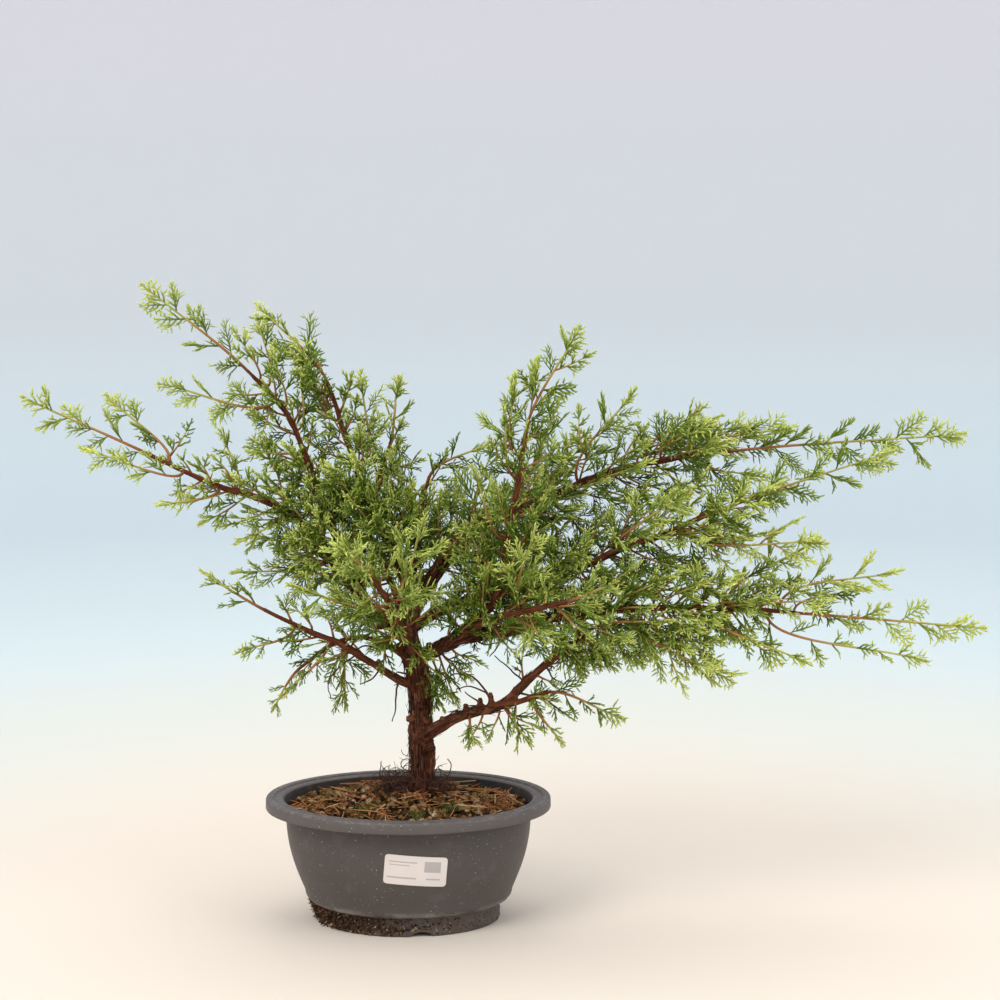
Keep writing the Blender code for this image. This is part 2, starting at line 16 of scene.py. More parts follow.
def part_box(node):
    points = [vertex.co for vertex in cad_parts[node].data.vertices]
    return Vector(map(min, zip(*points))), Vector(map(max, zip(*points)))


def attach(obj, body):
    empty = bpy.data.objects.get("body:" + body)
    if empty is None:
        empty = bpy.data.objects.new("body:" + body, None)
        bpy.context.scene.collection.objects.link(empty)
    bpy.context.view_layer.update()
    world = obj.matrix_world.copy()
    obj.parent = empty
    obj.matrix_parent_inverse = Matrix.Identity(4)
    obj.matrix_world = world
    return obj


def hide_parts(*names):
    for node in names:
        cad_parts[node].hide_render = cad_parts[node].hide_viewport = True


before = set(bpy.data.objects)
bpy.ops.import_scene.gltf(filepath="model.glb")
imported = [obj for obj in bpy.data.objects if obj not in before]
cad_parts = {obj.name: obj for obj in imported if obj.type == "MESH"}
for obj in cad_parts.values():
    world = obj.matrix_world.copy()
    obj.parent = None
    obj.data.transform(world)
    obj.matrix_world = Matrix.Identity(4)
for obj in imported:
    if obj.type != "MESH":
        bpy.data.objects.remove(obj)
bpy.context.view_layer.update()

POT_LOW, POT_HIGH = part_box("pot")
AXIS_X = (POT_LOW.x + POT_HIGH.x) / 2
AXIS_Y = (POT_LOW.y + POT_HIGH.y) / 2
RIM_X = (POT_HIGH.x - POT_LOW.x) / 2
RIM_Y = (POT_HIGH.y - POT_LOW.y) / 2
RIM_Z = POT_HIGH.z
MM = 0.001
print("pot", round(2 * RIM_X, 3), "by", round(2 * RIM_Y, 3), "by", round(RIM_Z, 3))

# %% [markdown]
# The camera stands a little above the rim and looks slightly down, with a fairly long lens, so that
# the long limbs hardly bend in perspective. It is set first.

# %% Camera
LENS = 77.83
CAMERA_RIGHT, CAMERA_BACK, CAMERA_UP = 0.0723, 1.6714, 0.5195
CAMERA_DIP = math.radians(6.386)
camera_data = bpy.data.cameras.new("camera")
camera_data.sensor_width = 36
camera_data.lens = LENS
camera = bpy.data.objects.new("camera", camera_data)
camera.location = (AXIS_X + CAMERA_RIGHT, AXIS_Y - CAMERA_BACK, CAMERA_UP)
camera.rotation_euler = (math.pi / 2 - CAMERA_DIP, 0, 0)
bpy.context.scene.collection.objects.link(camera)
bpy.context.scene.camera = camera
print("camera at", tuple(round(v, 3) for v in camera.location))

# %% [markdown]
# A small set of helpers. Operators act on whatever is selected, so each piece starts from an empty
# selection, and a finished piece has its place in its mesh, with its object at the origin.


# %% Helpers for operators
def only(obj=None):
    """Leaves object mode with nothing selected but obj."""
    if bpy.context.mode != "OBJECT":
        bpy.ops.object.mode_set(mode="OBJECT")
    bpy.ops.object.select_all(action="DESELECT")
    if obj is not None:
        obj.select_set(True)
        bpy.context.view_layer.objects.active = obj


def named(name):
    """The object that an operator has just added, with a name."""
    obj = bpy.context.active_object
    obj.name = name
    obj.data.name = name
    return obj


def apply_modifiers(obj):
    only(obj)
    for modifier in list(obj.modifiers):
        bpy.ops.object.modifier_apply(modifier=modifier.name)


def bake_place(obj):
    only(obj)
    bpy.ops.object.transform_apply(location=True, rotation=True, scale=True)


def smooth(obj, degrees):
    only(obj)
    bpy.ops.object.shade_smooth_by_angle(angle=math.radians(degrees))


def wear(obj, slot, *replaced):
    """Puts a finished piece on the one body and hides the imported parts that it stands for. Its slot is not
    used.
    """
    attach(obj, "root")
    if replaced:
        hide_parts(*replaced)
    print(obj.name, len(obj.data.polygons), "faces")


# %% [markdown]
# Small shapes that repeat are modelled once and read into arrays. Copies are then laid out with numpy
# and written as one mesh, because thousands of objects would be slow to handle and to export. Each
# point carries a colour attribute, which the materials read for age, tone and kind.


# %% Helpers for many copies
def arrays(obj):
    """Points and quads of a template, which is then removed."""
    points = np.array([v.co for v in obj.data.vertices], float)
    quads = []
    for polygon in obj.data.polygons:
        corners = list(polygon.vertices)
        if len(corners) == 4:
            quads.append(corners)
            continue
        for k in range(1, len(corners) - 1):
            quads.append([corners[0], corners[k], corners[k + 1], corners[0]])
    bpy.data.objects.remove(obj)
    return points, np.array(quads, int)


def build(name, parts, materials):
    """One mesh of (points, faces, attribute, material index) parts."""
    offset = 0
    points, faces, tints, slots = [], [], [], []
    for part_points, part_faces, part_tint, part_slot in parts:
        points.append(part_points)
        faces.append(part_faces + offset)
        tints.append(part_tint)
        slots.append(np.full(len(part_faces), part_slot))
        offset += len(part_points)
    points, faces = np.concatenate(points), np.concatenate(faces)
    tints, slots = np.concatenate(tints), np.concatenate(slots)
    sizes = np.where(faces[:, 3] == faces[:, 0], 3, 4)
    loops = faces[np.arange(4)[None, :] < sizes[:, None]]
    mesh = bpy.data.meshes.new(name)
    mesh.vertices.add(len(points))
    mesh.vertices.foreach_set("co", points.astype(np.float32).ravel())
    mesh.loops.add(len(loops))
    mesh.loops.foreach_set("vertex_index", loops.astype(np.int32))
    mesh.polygons.add(len(faces))
    starts = np.concatenate([[0], np.cumsum(sizes)[:-1]])
    mesh.polygons.foreach_set("loop_start", starts.astype(np.int32))
    mesh.polygons.foreach_set("material_index", slots.astype(np.int32))
    mesh.update(calc_edges=True)
    tint = mesh.attributes.new("tint", "FLOAT_COLOR", "POINT")
    tint.data.foreach_set("color", tints.astype(np.float32).ravel())
    for material in materials:
        mesh.materials.append(material)
    mesh.shade_smooth()
    obj = bpy.data.objects.new(name, mesh)
    bpy.context.scene.collection.objects.link(obj)
    return obj


def unit(vectors):
    return vectors / np.maximum(np.linalg.norm(vectors, axis=-1, keepdims=True), 1e-9)


def tint_of(count, red=0.0, green=0.0, blue=0.0):
    """One attribute row for each point: each value is a number or an array."""
    out = np.ones((count, 4))
    out[:, 0], out[:, 1], out[:, 2] = red, green, blue
    return out


def tube(points, radii, sides, red=(0.0, 1.0), green=0.5):
    """A closed tube through points, whose red attribute runs along it."""
    points = np.asarray(points, float)
    count = len(points)
    along = unit(np.gradient(points, axis=0))
    side = np.array([0.31, 0.93, 0.17])
    rings = []
    for i in range(count):
        side = side - along[i] * (side @ along[i])
        side /= np.linalg.norm(side)
        up = np.cross(along[i], side)
        turn = np.arange(sides) * 2 * math.pi / sides
        rings.append(points[i] + radii[i] * (np.cos(turn)[:, None] * side + np.sin(turn)[:, None] * up))
    verts = np.concatenate(rings + [points[:1], points[-1:]])
    faces = []
    for i in range(count - 1):
        for k in range(sides):
            m = (k + 1) % sides
            faces.append((i * sides + k, i * sides + m, (i + 1) * sides + m, (i + 1) * sides + k))
    last = (count - 1) * sides
    for k in range(sides):
        m = (k + 1) % sides
        faces.append((count * sides, m, k, count * sides))
        faces.append((count * sides + 1, last + k, last + m, count * sides + 1))
    share = np.repeat(np.linspace(red[0], red[1], count), sides)
    share = np.concatenate([share, [red[0], red[1]]])
    return verts, np.array(faces), tint_of(len(verts), share, green)


def smooth_path(points, spacing):
    """Rows along a Catmull-Rom curve through rows of numbers, about a spacing apart."""
    rows = np.array(points, float)
    padded = np.vstack([2 * rows[0] - rows[1], rows, 2 * rows[-1] - rows[-2]])
    out = [rows[0]]
    for i in range(1, len(padded) - 2):
        a, b, c, d = padded[i - 1 : i + 3]
        count = max(1, round(float(np.linalg.norm(c[:3] - b[:3])) / spacing))
        for step in range(1, count + 1):
            t = step / count
            bend = (2 * a - 5 * b + 4 * c - d) * t**2 + (3 * b - a - 3 * c + d) * t**3
            out.append(0.5 * (2 * b + (c - a) * t + bend))
    return np.array(out)


def run_along(path):
    """The length along a path at each of its rows."""
    steps = np.linalg.norm(np.diff(path[:, :3], axis=0), axis=1)
    return np.concatenate([[0], np.cumsum(steps)])


# %% [markdown]
# Finishes share a few effects, each a node group: blotches for dirt and age, sharp specks for mineral
# grains, and a band by height. They read Object coordinates, so they stay put on the object.


# %% Node group helpers
def new_group(name, inputs, outputs):
    group = bpy.data.node_groups.new(name, "ShaderNodeTree")
    for label, kind, value in inputs:
        group.interface.new_socket(label, in_out="INPUT", socket_type=kind).default_value = value
    for label, kind in outputs:
        group.interface.new_socket(label, in_out="OUTPUT", socket_type=kind)
    return group, group.nodes.new("NodeGroupInput"), group.nodes.new("NodeGroupOutput")


def node(tree, kind, values=None, **settings):
    """A node with its settings, and its inputs set or linked by name or number."""
    made = tree.nodes.new(kind)
    for key, value in settings.items():
        setattr(made, key, value)
    for key, value in (values or {}).items():
        if isinstance(value, bpy.types.NodeSocket):
            tree.links.new(value, made.inputs[key])
        else:
            made.inputs[key].default_value = value
    return made


def math_node(tree, operation, first, second):
    return node(tree, "ShaderNodeMath", {0: first, 1: second}, operation=operation).outputs[0]


def times(tree, first, second):
    return math_node(tree, "MULTIPLY", first, second)


def ramp(tree, factor, low, high):
    """A soft step from 0 at low to 1 at high."""
    made = node(tree, "ShaderNodeMapRange", {"Value": factor, "From Min": low, "From Max": high})
    made.interpolation_type = "SMOOTHSTEP"
    return made.outputs[0]


def mix(tree, factor, first, second):
    made = node(tree, "ShaderNodeMix", data_type="RGBA")
    for socket, value in ((made.inputs[0], factor), (made.inputs[6], first), (made.inputs[7], second)):
        if isinstance(value, bpy.types.NodeSocket):
            tree.links.new(value, socket)
        else:
            socket.default_value = value
    return made.outputs[2]


# %% Node group: blotches
BLOTCH, inside, outside = new_group(
    "blotches",
    [("Scale", "NodeSocketFloat", 40.0), ("Low", "NodeSocketFloat", 0.45), ("High", "NodeSocketFloat", 0.6)],
    [("Mask", "NodeSocketFloat")],
)
place = node(BLOTCH, "ShaderNodeTexCoord")
cloud = node(
    BLOTCH,
    "ShaderNodeTexNoise",
    {"Vector": place.outputs["Object"], "Scale": inside.outputs["Scale"], "Detail": 5.0, "Roughness": 0.6},
)
edge = ramp(BLOTCH, cloud.outputs["Fac"], inside.outputs["Low"], inside.outputs["High"])
BLOTCH.links.new(edge, outside.inputs["Mask"])

# %% Node group: specks
SPECK, inside, outside = new_group(
    "specks",
    [
        ("Scale", "NodeSocketFloat", 400.0),
        ("Size", "NodeSocketFloat", 0.12),
        ("Share", "NodeSocketFloat", 0.2),
    ],
    [("Mask", "NodeSocketFloat")],
)
place = node(SPECK, "ShaderNodeTexCoord")
cells = node(
    SPECK, "ShaderNodeTexVoronoi", {"Vector": place.outputs["Object"], "Scale": inside.outputs["Scale"]}
)
picked = node(SPECK, "ShaderNodeSeparateColor", {"Color": cells.outputs["Color"]})
near = math_node(SPECK, "LESS_THAN", cells.outputs["Distance"], inside.outputs["Size"])
chosen = math_node(SPECK, "LESS_THAN", picked.outputs[0], inside.outputs["Share"])
SPECK.links.new(times(SPECK, near, chosen), outside.inputs["Mask"])

# %% Node group: height band
BAND, inside, outside = new_group(
    "height_band",
    [("Full", "NodeSocketFloat", 0.0), ("None", "NodeSocketFloat", 0.02)],
    [("Mask", "NodeSocketFloat")],
)
place = node(BAND, "ShaderNodeTexCoord")
parts_of = node(BAND, "ShaderNodeSeparateXYZ", {"Vector": place.outputs["Object"]})
fade = ramp(BAND, parts_of.outputs["Z"], inside.outputs["None"], inside.outputs["Full"])
BAND.links.new(fade, outside.inputs["Mask"])


def grouped(tree, group, **values):
    """A group placed in a material: its first output, with its inputs set."""
    made = tree.nodes.new("ShaderNodeGroup")
    made.node_tree = group
    for key, value in values.items():
        made.inputs[key].default_value = value
    return made.outputs[0]


def new_material(name, roughness, specular):
    """A material with its tree and its shader, whose plain values sit on its own sockets."""
    made = bpy.data.materials.new(name)
    made.use_nodes = True
    tree = made.node_tree
    shader = tree.nodes["Principled BSDF"]
    shader.inputs["Roughness"].default_value = roughness
    shader.inputs["Specular IOR Level"].default_value = specular
    return made, tree, shader


def paint(tree, shader, colour):
    tree.links.new(colour, shader.inputs["Base Color"])


def bump(tree, shader, height, strength, distance):
    made = node(tree, "ShaderNodeBump", {"Height": height, "Strength": strength, "Distance": distance})
    tree.links.new(made.outputs["Normal"], shader.inputs["Normal"])


def tint_node(tree):
    """The red and green of the tint attribute, and its blue, which only the granules use."""
    attribute = node(tree, "ShaderNodeAttribute", attribute_name="tint")
    return node(tree, "ShaderNodeSeparateColor", {"Color": attribute.outputs["Color"]}).outputs


def noise_of(tree, scale, detail):
    """A noise factor on Object coordinates."""
    vector = node(tree, "ShaderNodeTexCoord").outputs["Object"]
    made = node(tree, "ShaderNodeTexNoise", {"Vector": vector, "Scale": scale, "Detail": detail})
    return made.outputs["Fac"]


print("groups", [group.name for group in (BLOTCH, SPECK, BAND)])

# %% [markdown]
# The stage is a pale floor that turns up far away into a backdrop all round, so the object can be
# looked at from every side. Light is soft: a bright sky over the open top, a large lamp at the upper
# left in front and a weaker one at the right.

# %% Floor
only()
bpy.ops.mesh.primitive_circle_add(vertices=96, radius=2.5, fill_type="NGON")
floor = named("floor")
bpy.ops.object.mode_set(mode="EDIT")
for climb, spread in ((0.03, 1.10), (0.10, 1.09), (0.22, 1.08), (0.45, 1.06), (0.9, 1.03), (2.4, 1.01)):
    bpy.ops.mesh.select_mode(type="EDGE")
    bpy.ops.mesh.select_all(action="DESELECT")
    bpy.ops.mesh.select_non_manifold(extend=False, use_wire=False, use_boundary=True)
    bpy.ops.mesh.extrude_edges_move(TRANSFORM_OT_translate={"value": (0, 0, climb)})
    bpy.ops.transform.resize(value=(spread, spread, 1), center_override=(0, 0, 0))
smooth(floor, 60)
floor_finish, tree, shader = new_material("pale_floor", 0.9, 0.1)
spot = node(tree, "ShaderNodeTexCoord").outputs["Object"]
height = node(tree, "ShaderNodeSeparateXYZ", {"Vector": spot}).outputs["Z"]
level = node(tree, "ShaderNodeMapping", {"Vector": spot, "Scale": (1, 1, 0)}).outputs["Vector"]
away = node(tree, "ShaderNodeVectorMath", {0: level}, operation="LENGTH").outputs["Value"]
pale = mix(tree, ramp(tree, away, 0.35, 0.8), (0.765, 0.685, 0.60, 1), (0.70, 0.715, 0.655, 1))
pale = mix(tree, ramp(tree, away, 0.7, 1.4), pale, (0.67, 0.775, 0.80, 1))
pale = mix(tree, ramp(tree, away, 1.3, 2.5), pale, (0.71, 0.82, 0.87, 1))
pale = mix(tree, ramp(tree, height, 0.02, 0.5), pale, (0.73, 0.765, 0.79, 1))
pale = mix(tree, ramp(tree, height, 0.4, 1.1), pale, (0.81, 0.79, 0.82, 1))
paint(tree, shader, pale)
floor.data.materials.append(floor_finish)

# %% Light
world = bpy.data.worlds.new("studio")
world.use_nodes = True
sky = world.node_tree.nodes["Background"].inputs
sky["Color"].default_value = (1.0, 1.0, 1.0, 1)
sky["Strength"].default_value = 0.92
bpy.context.scene.world = world
bpy.context.scene.view_settings.view_transform = "Standard"


def softbox(name, place, aim, size, power, colour):
    data = bpy.data.lights.new(name, "AREA")
    data.shape = "DISK"
    data.size = size
    data.energy = power
    data.color = colour
    lamp = bpy.data.objects.new(name, data)
    lamp.location = place
    lamp.visible_camera = False
    lamp.rotation_euler = (Vector(aim) - Vector(place)).to_track_quat("-Z", "Y").to_euler()
    bpy.context.scene.collection.objects.link(lamp)


softbox("key", (-1.1, -1.5, 1.9), (0, 0, 0.25), 1.3, 30, (1.0, 0.97, 0.92))
softbox("fill", (1.5, -1.0, 1.2), (0, 0, 0.25), 1.4, 12, (0.95, 0.98, 1.0))
softbox("top", (0.0, 0.5, 2.1), (0, 0, 0.3), 1.5, 14, (1.0, 1.0, 1.0))

# %% [markdown]
# The pot is one moulded shell of grey plastic, turned on an oval. By hand it would be a circle of
# edges, extruded and scaled ring by ring: up the outside, over the stepped lip and down the inside.
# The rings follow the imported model's foot, shoulder, wall and rim.

# %% Outline of the pot
FOOT_Z, SHOULDER_Z, LIP_Z = 15 * MM, 24 * MM, RIM_Z - 9 * MM
FOOT_X, FOOT_Y = RIM_X - 40.5 * MM, RIM_Y - 31.5 * MM
SHOULDER_X, SHOULDER_Y = RIM_X - 30.5 * MM, RIM_Y - 23.5 * MM
WALL_X, WALL_Y = RIM_X - 15.5 * MM, RIM_Y - 15.5 * MM
WALL_THICKNESS = 2.5 * MM


def wall_at(share):
    """Half length, half depth and height of the outer wall, from its shoulder up to the lip."""
    bulge = 4 * MM * math.sin(math.pi * share)
    half_x = SHOULDER_X + (WALL_X - SHOULDER_X) * share + bulge
    half_y = SHOULDER_Y + (WALL_Y - SHOULDER_Y) * share + bulge
    return half_x, half_y, SHOULDER_Z + (LIP_Z - SHOULDER_Z) * share


def inside_of_wall(z):
    """Half length and half depth of the pot's inside at a height."""
    half_x, half_y, _ = wall_at(min(max((z - SHOULDER_Z) / (LIP_Z - SHOULDER_Z), 0), 1))
    return half_x - WALL_THICKNESS, half_y - WALL_THICKNESS


# The lip, as (inset from the rim, drop from the top) in millimetres, from under it to the mouth.
LIP = [
    (15.0, 8.9), (13.0, 8.6), (4.0, 8.7), (1.2, 9.0), (0.35, 8.6), (0.0, 7.8), (0.15, 3.0), (0.2, 1.8),
    (0.6, 0.8), (1.4, 0.15), (2.4, 0.0), (5.4, 0.15), (6.2, 0.5), (6.6, 1.3), (7.1, 1.5), (10.2, 1.6),
    (10.9, 1.3), (11.4, 0.9), (12.2, 0.8), (13.4, 1.1), (14.4, 2.0), (15.0, 3.6),
]
pot_rows = [(FOOT_X - 4 * MM, FOOT_Y - 4 * MM, 14 * MM), (FOOT_X - 4 * MM, FOOT_Y - 4 * MM, 0.8 * MM)]
pot_rows += [(FOOT_X - 3.4 * MM, FOOT_Y - 3.4 * MM, 0.0), (FOOT_X - 0.8 * MM, FOOT_Y - 0.8 * MM, 0.0)]
pot_rows += [(FOOT_X, FOOT_Y, 0.8 * MM), (FOOT_X, FOOT_Y, FOOT_Z - 1.2 * MM), (FOOT_X, FOOT_Y, FOOT_Z)]
for share in (0.25, 0.5, 0.75, 0.93):
    swell = math.sin(share * math.pi / 2)
    pot_rows.append(
        (
            FOOT_X + (SHOULDER_X - FOOT_X) * swell,
            FOOT_Y + (SHOULDER_Y - FOOT_Y) * swell,
            FOOT_Z + (SHOULDER_Z - FOOT_Z) * (1 - math.cos(share * math.pi / 2)) * 0.9,
        )
    )
pot_rows += [wall_at(step / 16) for step in range(16)] + [wall_at(0.985)]
pot_rows += [(RIM_X - inset * MM, RIM_Y - inset * MM, RIM_Z - drop * MM) for inset, drop in LIP]
for step in range(12, -1, -1):
    half_x, half_y, z = wall_at(step / 12 * 0.97)
    pot_rows.append((half_x - WALL_THICKNESS, half_y - WALL_THICKNESS, z))
pot_rows.append((FOOT_X - 2.5 * MM, FOOT_Y - 2.5 * MM, 17 * MM))
print("pot outline", len(pot_rows), "rings")


# %% Rings to a turned shape
def ringed(name, rows, sides):
    """An oval shape about the pot's axis: a circle extruded and scaled along rows of half sizes."""
    only()
    half_x, half_y, z = rows[0]
    middle = (AXIS_X, AXIS_Y, z)
    bpy.ops.mesh.primitive_circle_add(vertices=sides, radius=1, fill_type="NGON", location=middle)
    obj = named(name)
    bpy.ops.object.mode_set(mode="EDIT")
    bpy.ops.transform.resize(value=(half_x, half_y, 1), center_override=middle)
    for row in rows[1:]:
        bpy.ops.mesh.extrude_region_move(TRANSFORM_OT_translate={"value": (0, 0, row[2] - z)})
        scale = (row[0] / half_x, row[1] / half_y, 1)
        bpy.ops.transform.resize(value=scale, center_override=(AXIS_X, AXIS_Y, row[2]))
        half_x, half_y, z = row
    bpy.ops.mesh.select_all(action="SELECT")
    bpy.ops.mesh.normals_make_consistent(inside=False)
    bake_place(obj)
    return obj


pot = ringed("potting_tub", pot_rows, 160)


# %% Notch and drain holes
def cylinder(radius, depth, place, lying=False):
    only()
    turn = (math.radians(90), 0, 0) if lying else (0, 0, 0)
    bpy.ops.mesh.primitive_cylinder_add(
        vertices=48, radius=radius, depth=depth, location=place, rotation=turn
    )
    return named("cutter")


def cut(obj, cutter):
    modifier = obj.modifiers.new("cut", "BOOLEAN")
    modifier.operation = "DIFFERENCE"
    modifier.solver = "EXACT"
    modifier.object = cutter
    apply_modifiers(obj)
    bpy.data.objects.remove(cutter)


NOTCH_X, NOTCH_TOP, NOTCH_RADIUS = AXIS_X + 12 * MM, 4 * MM, 14.5 * MM
DRAIN_RADIUS, DRAIN_APART = 9 * MM, 40 * MM
cut(pot, cylinder(NOTCH_RADIUS, 4 * RIM_Y, (NOTCH_X, AXIS_Y, NOTCH_TOP - NOTCH_RADIUS), lying=True))
for step in (-1, 0, 1):
    drain = cylinder(DRAIN_RADIUS, 12 * MM, (AXIS_X + step * DRAIN_APART, AXIS_Y, FOOT_Z + 0.5 * MM))
    cut(pot, drain)
smooth(pot, 32)

# %% [markdown]
# The plastic is charcoal grey and matt. Its lip is painted paler, as painted light, and the lip's top edges
# carry pale scuffs with painted sheen. There are fine mineral specks, a chalky line just above the foot and
# brown earth dried on the foot ring. Inside the wall it is painted darker as painted shade, with dried
# earth.

# %% Pot finish
plastic, tree, shader = new_material("charcoal_plastic", 0.55, 0.45)
body = mix(tree, noise_of(tree, 14, 5), (0.058, 0.048, 0.044, 1), (0.086, 0.071, 0.064, 1))
cloudy = grouped(tree, BLOTCH, Scale=70.0, Low=0.52, High=0.72)
body = mix(tree, times(tree, cloudy, 0.35), body, (0.125, 0.110, 0.102, 1))
# Painted light: the whole lip is painted paler than the wall, as light falling on it.
lip_painted_light_band = grouped(tree, BAND, **{"Full": RIM_Z - 8 * MM, "None": RIM_Z - 10 * MM})
body = mix(tree, times(tree, lip_painted_light_band, 0.5), body, (0.125, 0.106, 0.102, 1))
# Pale marks on the lip's top edges, partly scuffs and partly a painted highlight of sheen.
scuff_and_sheen_patches = grouped(tree, BLOTCH, Scale=220.0, Low=0.50, High=0.62)
edges = grouped(tree, BAND, **{"Full": RIM_Z - 0.6 * MM, "None": RIM_Z - 2.2 * MM})
edges = times(tree, edges, times(tree, scuff_and_sheen_patches, 0.16))
body = mix(tree, edges, body, (0.42, 0.40, 0.37, 1))
for scale, size, share, strength, colour in (
    (640.0, 0.24, 0.06, 0.45, (0.50, 0.40, 0.28, 1)),
    (560.0, 0.19, 0.035, 0.7, (0.72, 0.68, 0.60, 1)),
    (380.0, 0.22, 0.05, 0.6, (0.022, 0.016, 0.012, 1)),
):
    specks = grouped(tree, SPECK, Scale=scale, Size=size, Share=share)
    body = mix(tree, times(tree, specks, strength), body, colour)
foot_band = grouped(tree, BAND, **{"Full": 13 * MM, "None": 21 * MM})
earthy = grouped(tree, BLOTCH, Scale=95.0, Low=0.40, High=0.58)
body = mix(tree, times(tree, foot_band, earthy), body, (0.072, 0.048, 0.034, 1))
line_low = grouped(tree, BAND, **{"Full": 17.5 * MM, "None": 15.5 * MM})
line_high = grouped(tree, BAND, **{"Full": 18.5 * MM, "None": 22.5 * MM})
line = times(tree, times(tree, line_low, line_high), 0.45)
line = times(tree, line, grouped(tree, BLOTCH, Scale=60.0, Low=0.35, High=0.65))
body = mix(tree, line, body, (0.40, 0.37, 0.33, 1))
sand = grouped(tree, SPECK, Scale=900.0, Size=0.34, Share=0.28)
sand = times(tree, foot_band, sand)
body = mix(tree, times(tree, sand, 0.5), body, (0.30, 0.23, 0.16, 1))
paint(tree, shader, body)
grit = noise_of(tree, 900, 3)
rough = math_node(tree, "ADD", times(tree, grit, 0.25), 0.42)
tree.links.new(rough, shader.inputs["Roughness"])
bump(tree, shader, grit, 0.25, 0.3 * MM)
pot.data.materials.append(plastic)

# Painted shade: the inside of the wall is painted dark grey, as shade in the pot's mouth, with brown patches
# of dried earth.
inner_wall_painted_shade, tree, shader = new_material("plastic_with_painted_inner_shade", 0.6, 0.35)
dark = mix(tree, noise_of(tree, 40, 4), (0.018, 0.015, 0.013, 1), (0.034, 0.029, 0.027, 1))
dust = times(tree, grouped(tree, BLOTCH, Scale=130.0, Low=0.50, High=0.66), 0.5)
paint(tree, shader, mix(tree, dust, dark, (0.075, 0.050, 0.034, 1)))
bump(tree, shader, noise_of(tree, 900, 3), 0.25, 0.3 * MM)
pot.data.materials.append(inner_wall_painted_shade)
# Faces inside the wall, above the shoulder and below the rim, take the painted shade.
for polygon in pot.data.polygons:
    outward = Vector((polygon.center.x - AXIS_X, polygon.center.y - AXIS_Y, 0))
    if polygon.normal.dot(outward) < 0 and SHOULDER_Z < polygon.center.z < RIM_Z - 1.8 * MM:
        polygon.material_index = 1
wear(pot, "pot_plastic", "pot")

# %% [markdown]
# A white paper sticker is pressed on the front of the wall, a little askew. By hand it would be a
# finely divided plane with its corners rounded, wrapped on the wall and thickened. Its print is made
# generic: a few plain grey rules.

# %% Sticker
LABEL_X, LABEL_Z = AXIS_X + 8 * MM, 57 * MM
LABEL_LONG, LABEL_TALL = 47.5 * MM, 23.5 * MM
LABEL_TURN = math.radians(5)
LABEL_CORNER = 2.6 * MM
only()
bpy.ops.mesh.primitive_grid_add(x_subdivisions=50, y_subdivisions=25, size=1, calc_uvs=True)
sticker = named("paper_sticker")
straight_x, straight_y = LABEL_LONG / 2 - LABEL_CORNER, LABEL_TALL / 2 - LABEL_CORNER
for vertex in sticker.data.vertices:
    across, up = vertex.co.x * LABEL_LONG, vertex.co.y * LABEL_TALL
    over = Vector((max(abs(across) - straight_x, 0), max(abs(up) - straight_y, 0)))
    if over.length > LABEL_CORNER:
        over -= over * (LABEL_CORNER / over.length)
        across -= math.copysign(over.x, across)
        up -= math.copysign(over.y, up)
    vertex.co = (across, 0, up)
sticker.rotation_euler = (0, LABEL_TURN, 0)
sticker.location = (LABEL_X, AXIS_Y - 2 * RIM_Y, LABEL_Z)
bake_place(sticker)
wrap = sticker.modifiers.new("wrap", "SHRINKWRAP")
wrap.target = pot
wrap.wrap_method = "PROJECT"
wrap.use_project_y = True
wrap.use_negative_direction = False
wrap.use_positive_direction = True
wrap.offset = 0.45 * MM
wrap.wrap_mode = "ABOVE_SURFACE"
thick = sticker.modifiers.new("thick", "SOLIDIFY")
thick.thickness = 0.25 * MM
thick.offset = 0
apply_modifiers(sticker)
only(sticker)
bpy.ops.object.mode_set(mode="EDIT")
bpy.ops.mesh.select_all(action="SELECT")
bpy.ops.mesh.normals_make_consistent(inside=False)
smooth(sticker, 40)

# %% Sticker finish
paper, tree, shader = new_material("sticker_paper", 0.45, 0.4)
uv = node(tree, "ShaderNodeTexCoord").outputs["UV"]
split = node(tree, "ShaderNodeSeparateXYZ", {"Vector": uv}).outputs


def rule(left, right, low, high):
    """A printed rule between shares of the sticker's length and height."""
    past_left = math_node(tree, "GREATER_THAN", split[0], left)
    before_right = math_node(tree, "LESS_THAN", split[0], right)
    over_low = math_node(tree, "GREATER_THAN", split[1], low)
    under_high = math_node(tree, "LESS_THAN", split[1], high)
    return times(tree, times(tree, past_left, before_right), times(tree, over_low, under_high))


RULES = [(0.07, 0.40, 0.66, 0.69), (0.05, 0.52, 0.22, 0.27), (0.68, 0.90, 0.22, 0.27),
         (0.64, 0.90, 0.48, 0.84)]
print_mask = rule(0.07, 0.52, 0.76, 0.80)
for edges in RULES:
    print_mask = math_node(tree, "MAXIMUM", print_mask, rule(*edges))
sheet = mix(tree, noise_of(tree, 60, 3), (0.72, 0.64, 0.60, 1), (0.79, 0.72, 0.69, 1))
paint(tree, shader, mix(tree, times(tree, print_mask, 0.55), sheet, (0.22, 0.21, 0.21, 1)))
bump(tree, shader, noise_of(tree, 900, 2), 0.1, 0.1 * MM)
sticker.data.materials.append(paper)
wear(sticker, "label_paper", "label")

# %% [markdown]
# The pot is filled with clay granules of 4 to 6 mm. They lie on a low mound that rises to the trunk.
# A closed body fills the pot under them, so no gap shows between the granules. It is painted almost
# black, as painted shade in the gaps. The granules are little rounded lumps, modelled in eight shapes and
# copied with their own turn, size and colour.

# %% Mound
SOIL_EDGE = RIM_Z - 8.5 * MM
SOIL_RISE = 12.5 * MM
SOIL_GAP = 0.6 * MM
SOIL_X, SOIL_Y = (half - SOIL_GAP for half in inside_of_wall(SOIL_EDGE))


def bed_share(x, y):
    """How far out a place lies: 0 on the pot's axis and 1 at the edge of the bed."""
    return math.hypot((x - AXIS_X) / SOIL_X, (y - AXIS_Y) / SOIL_Y)


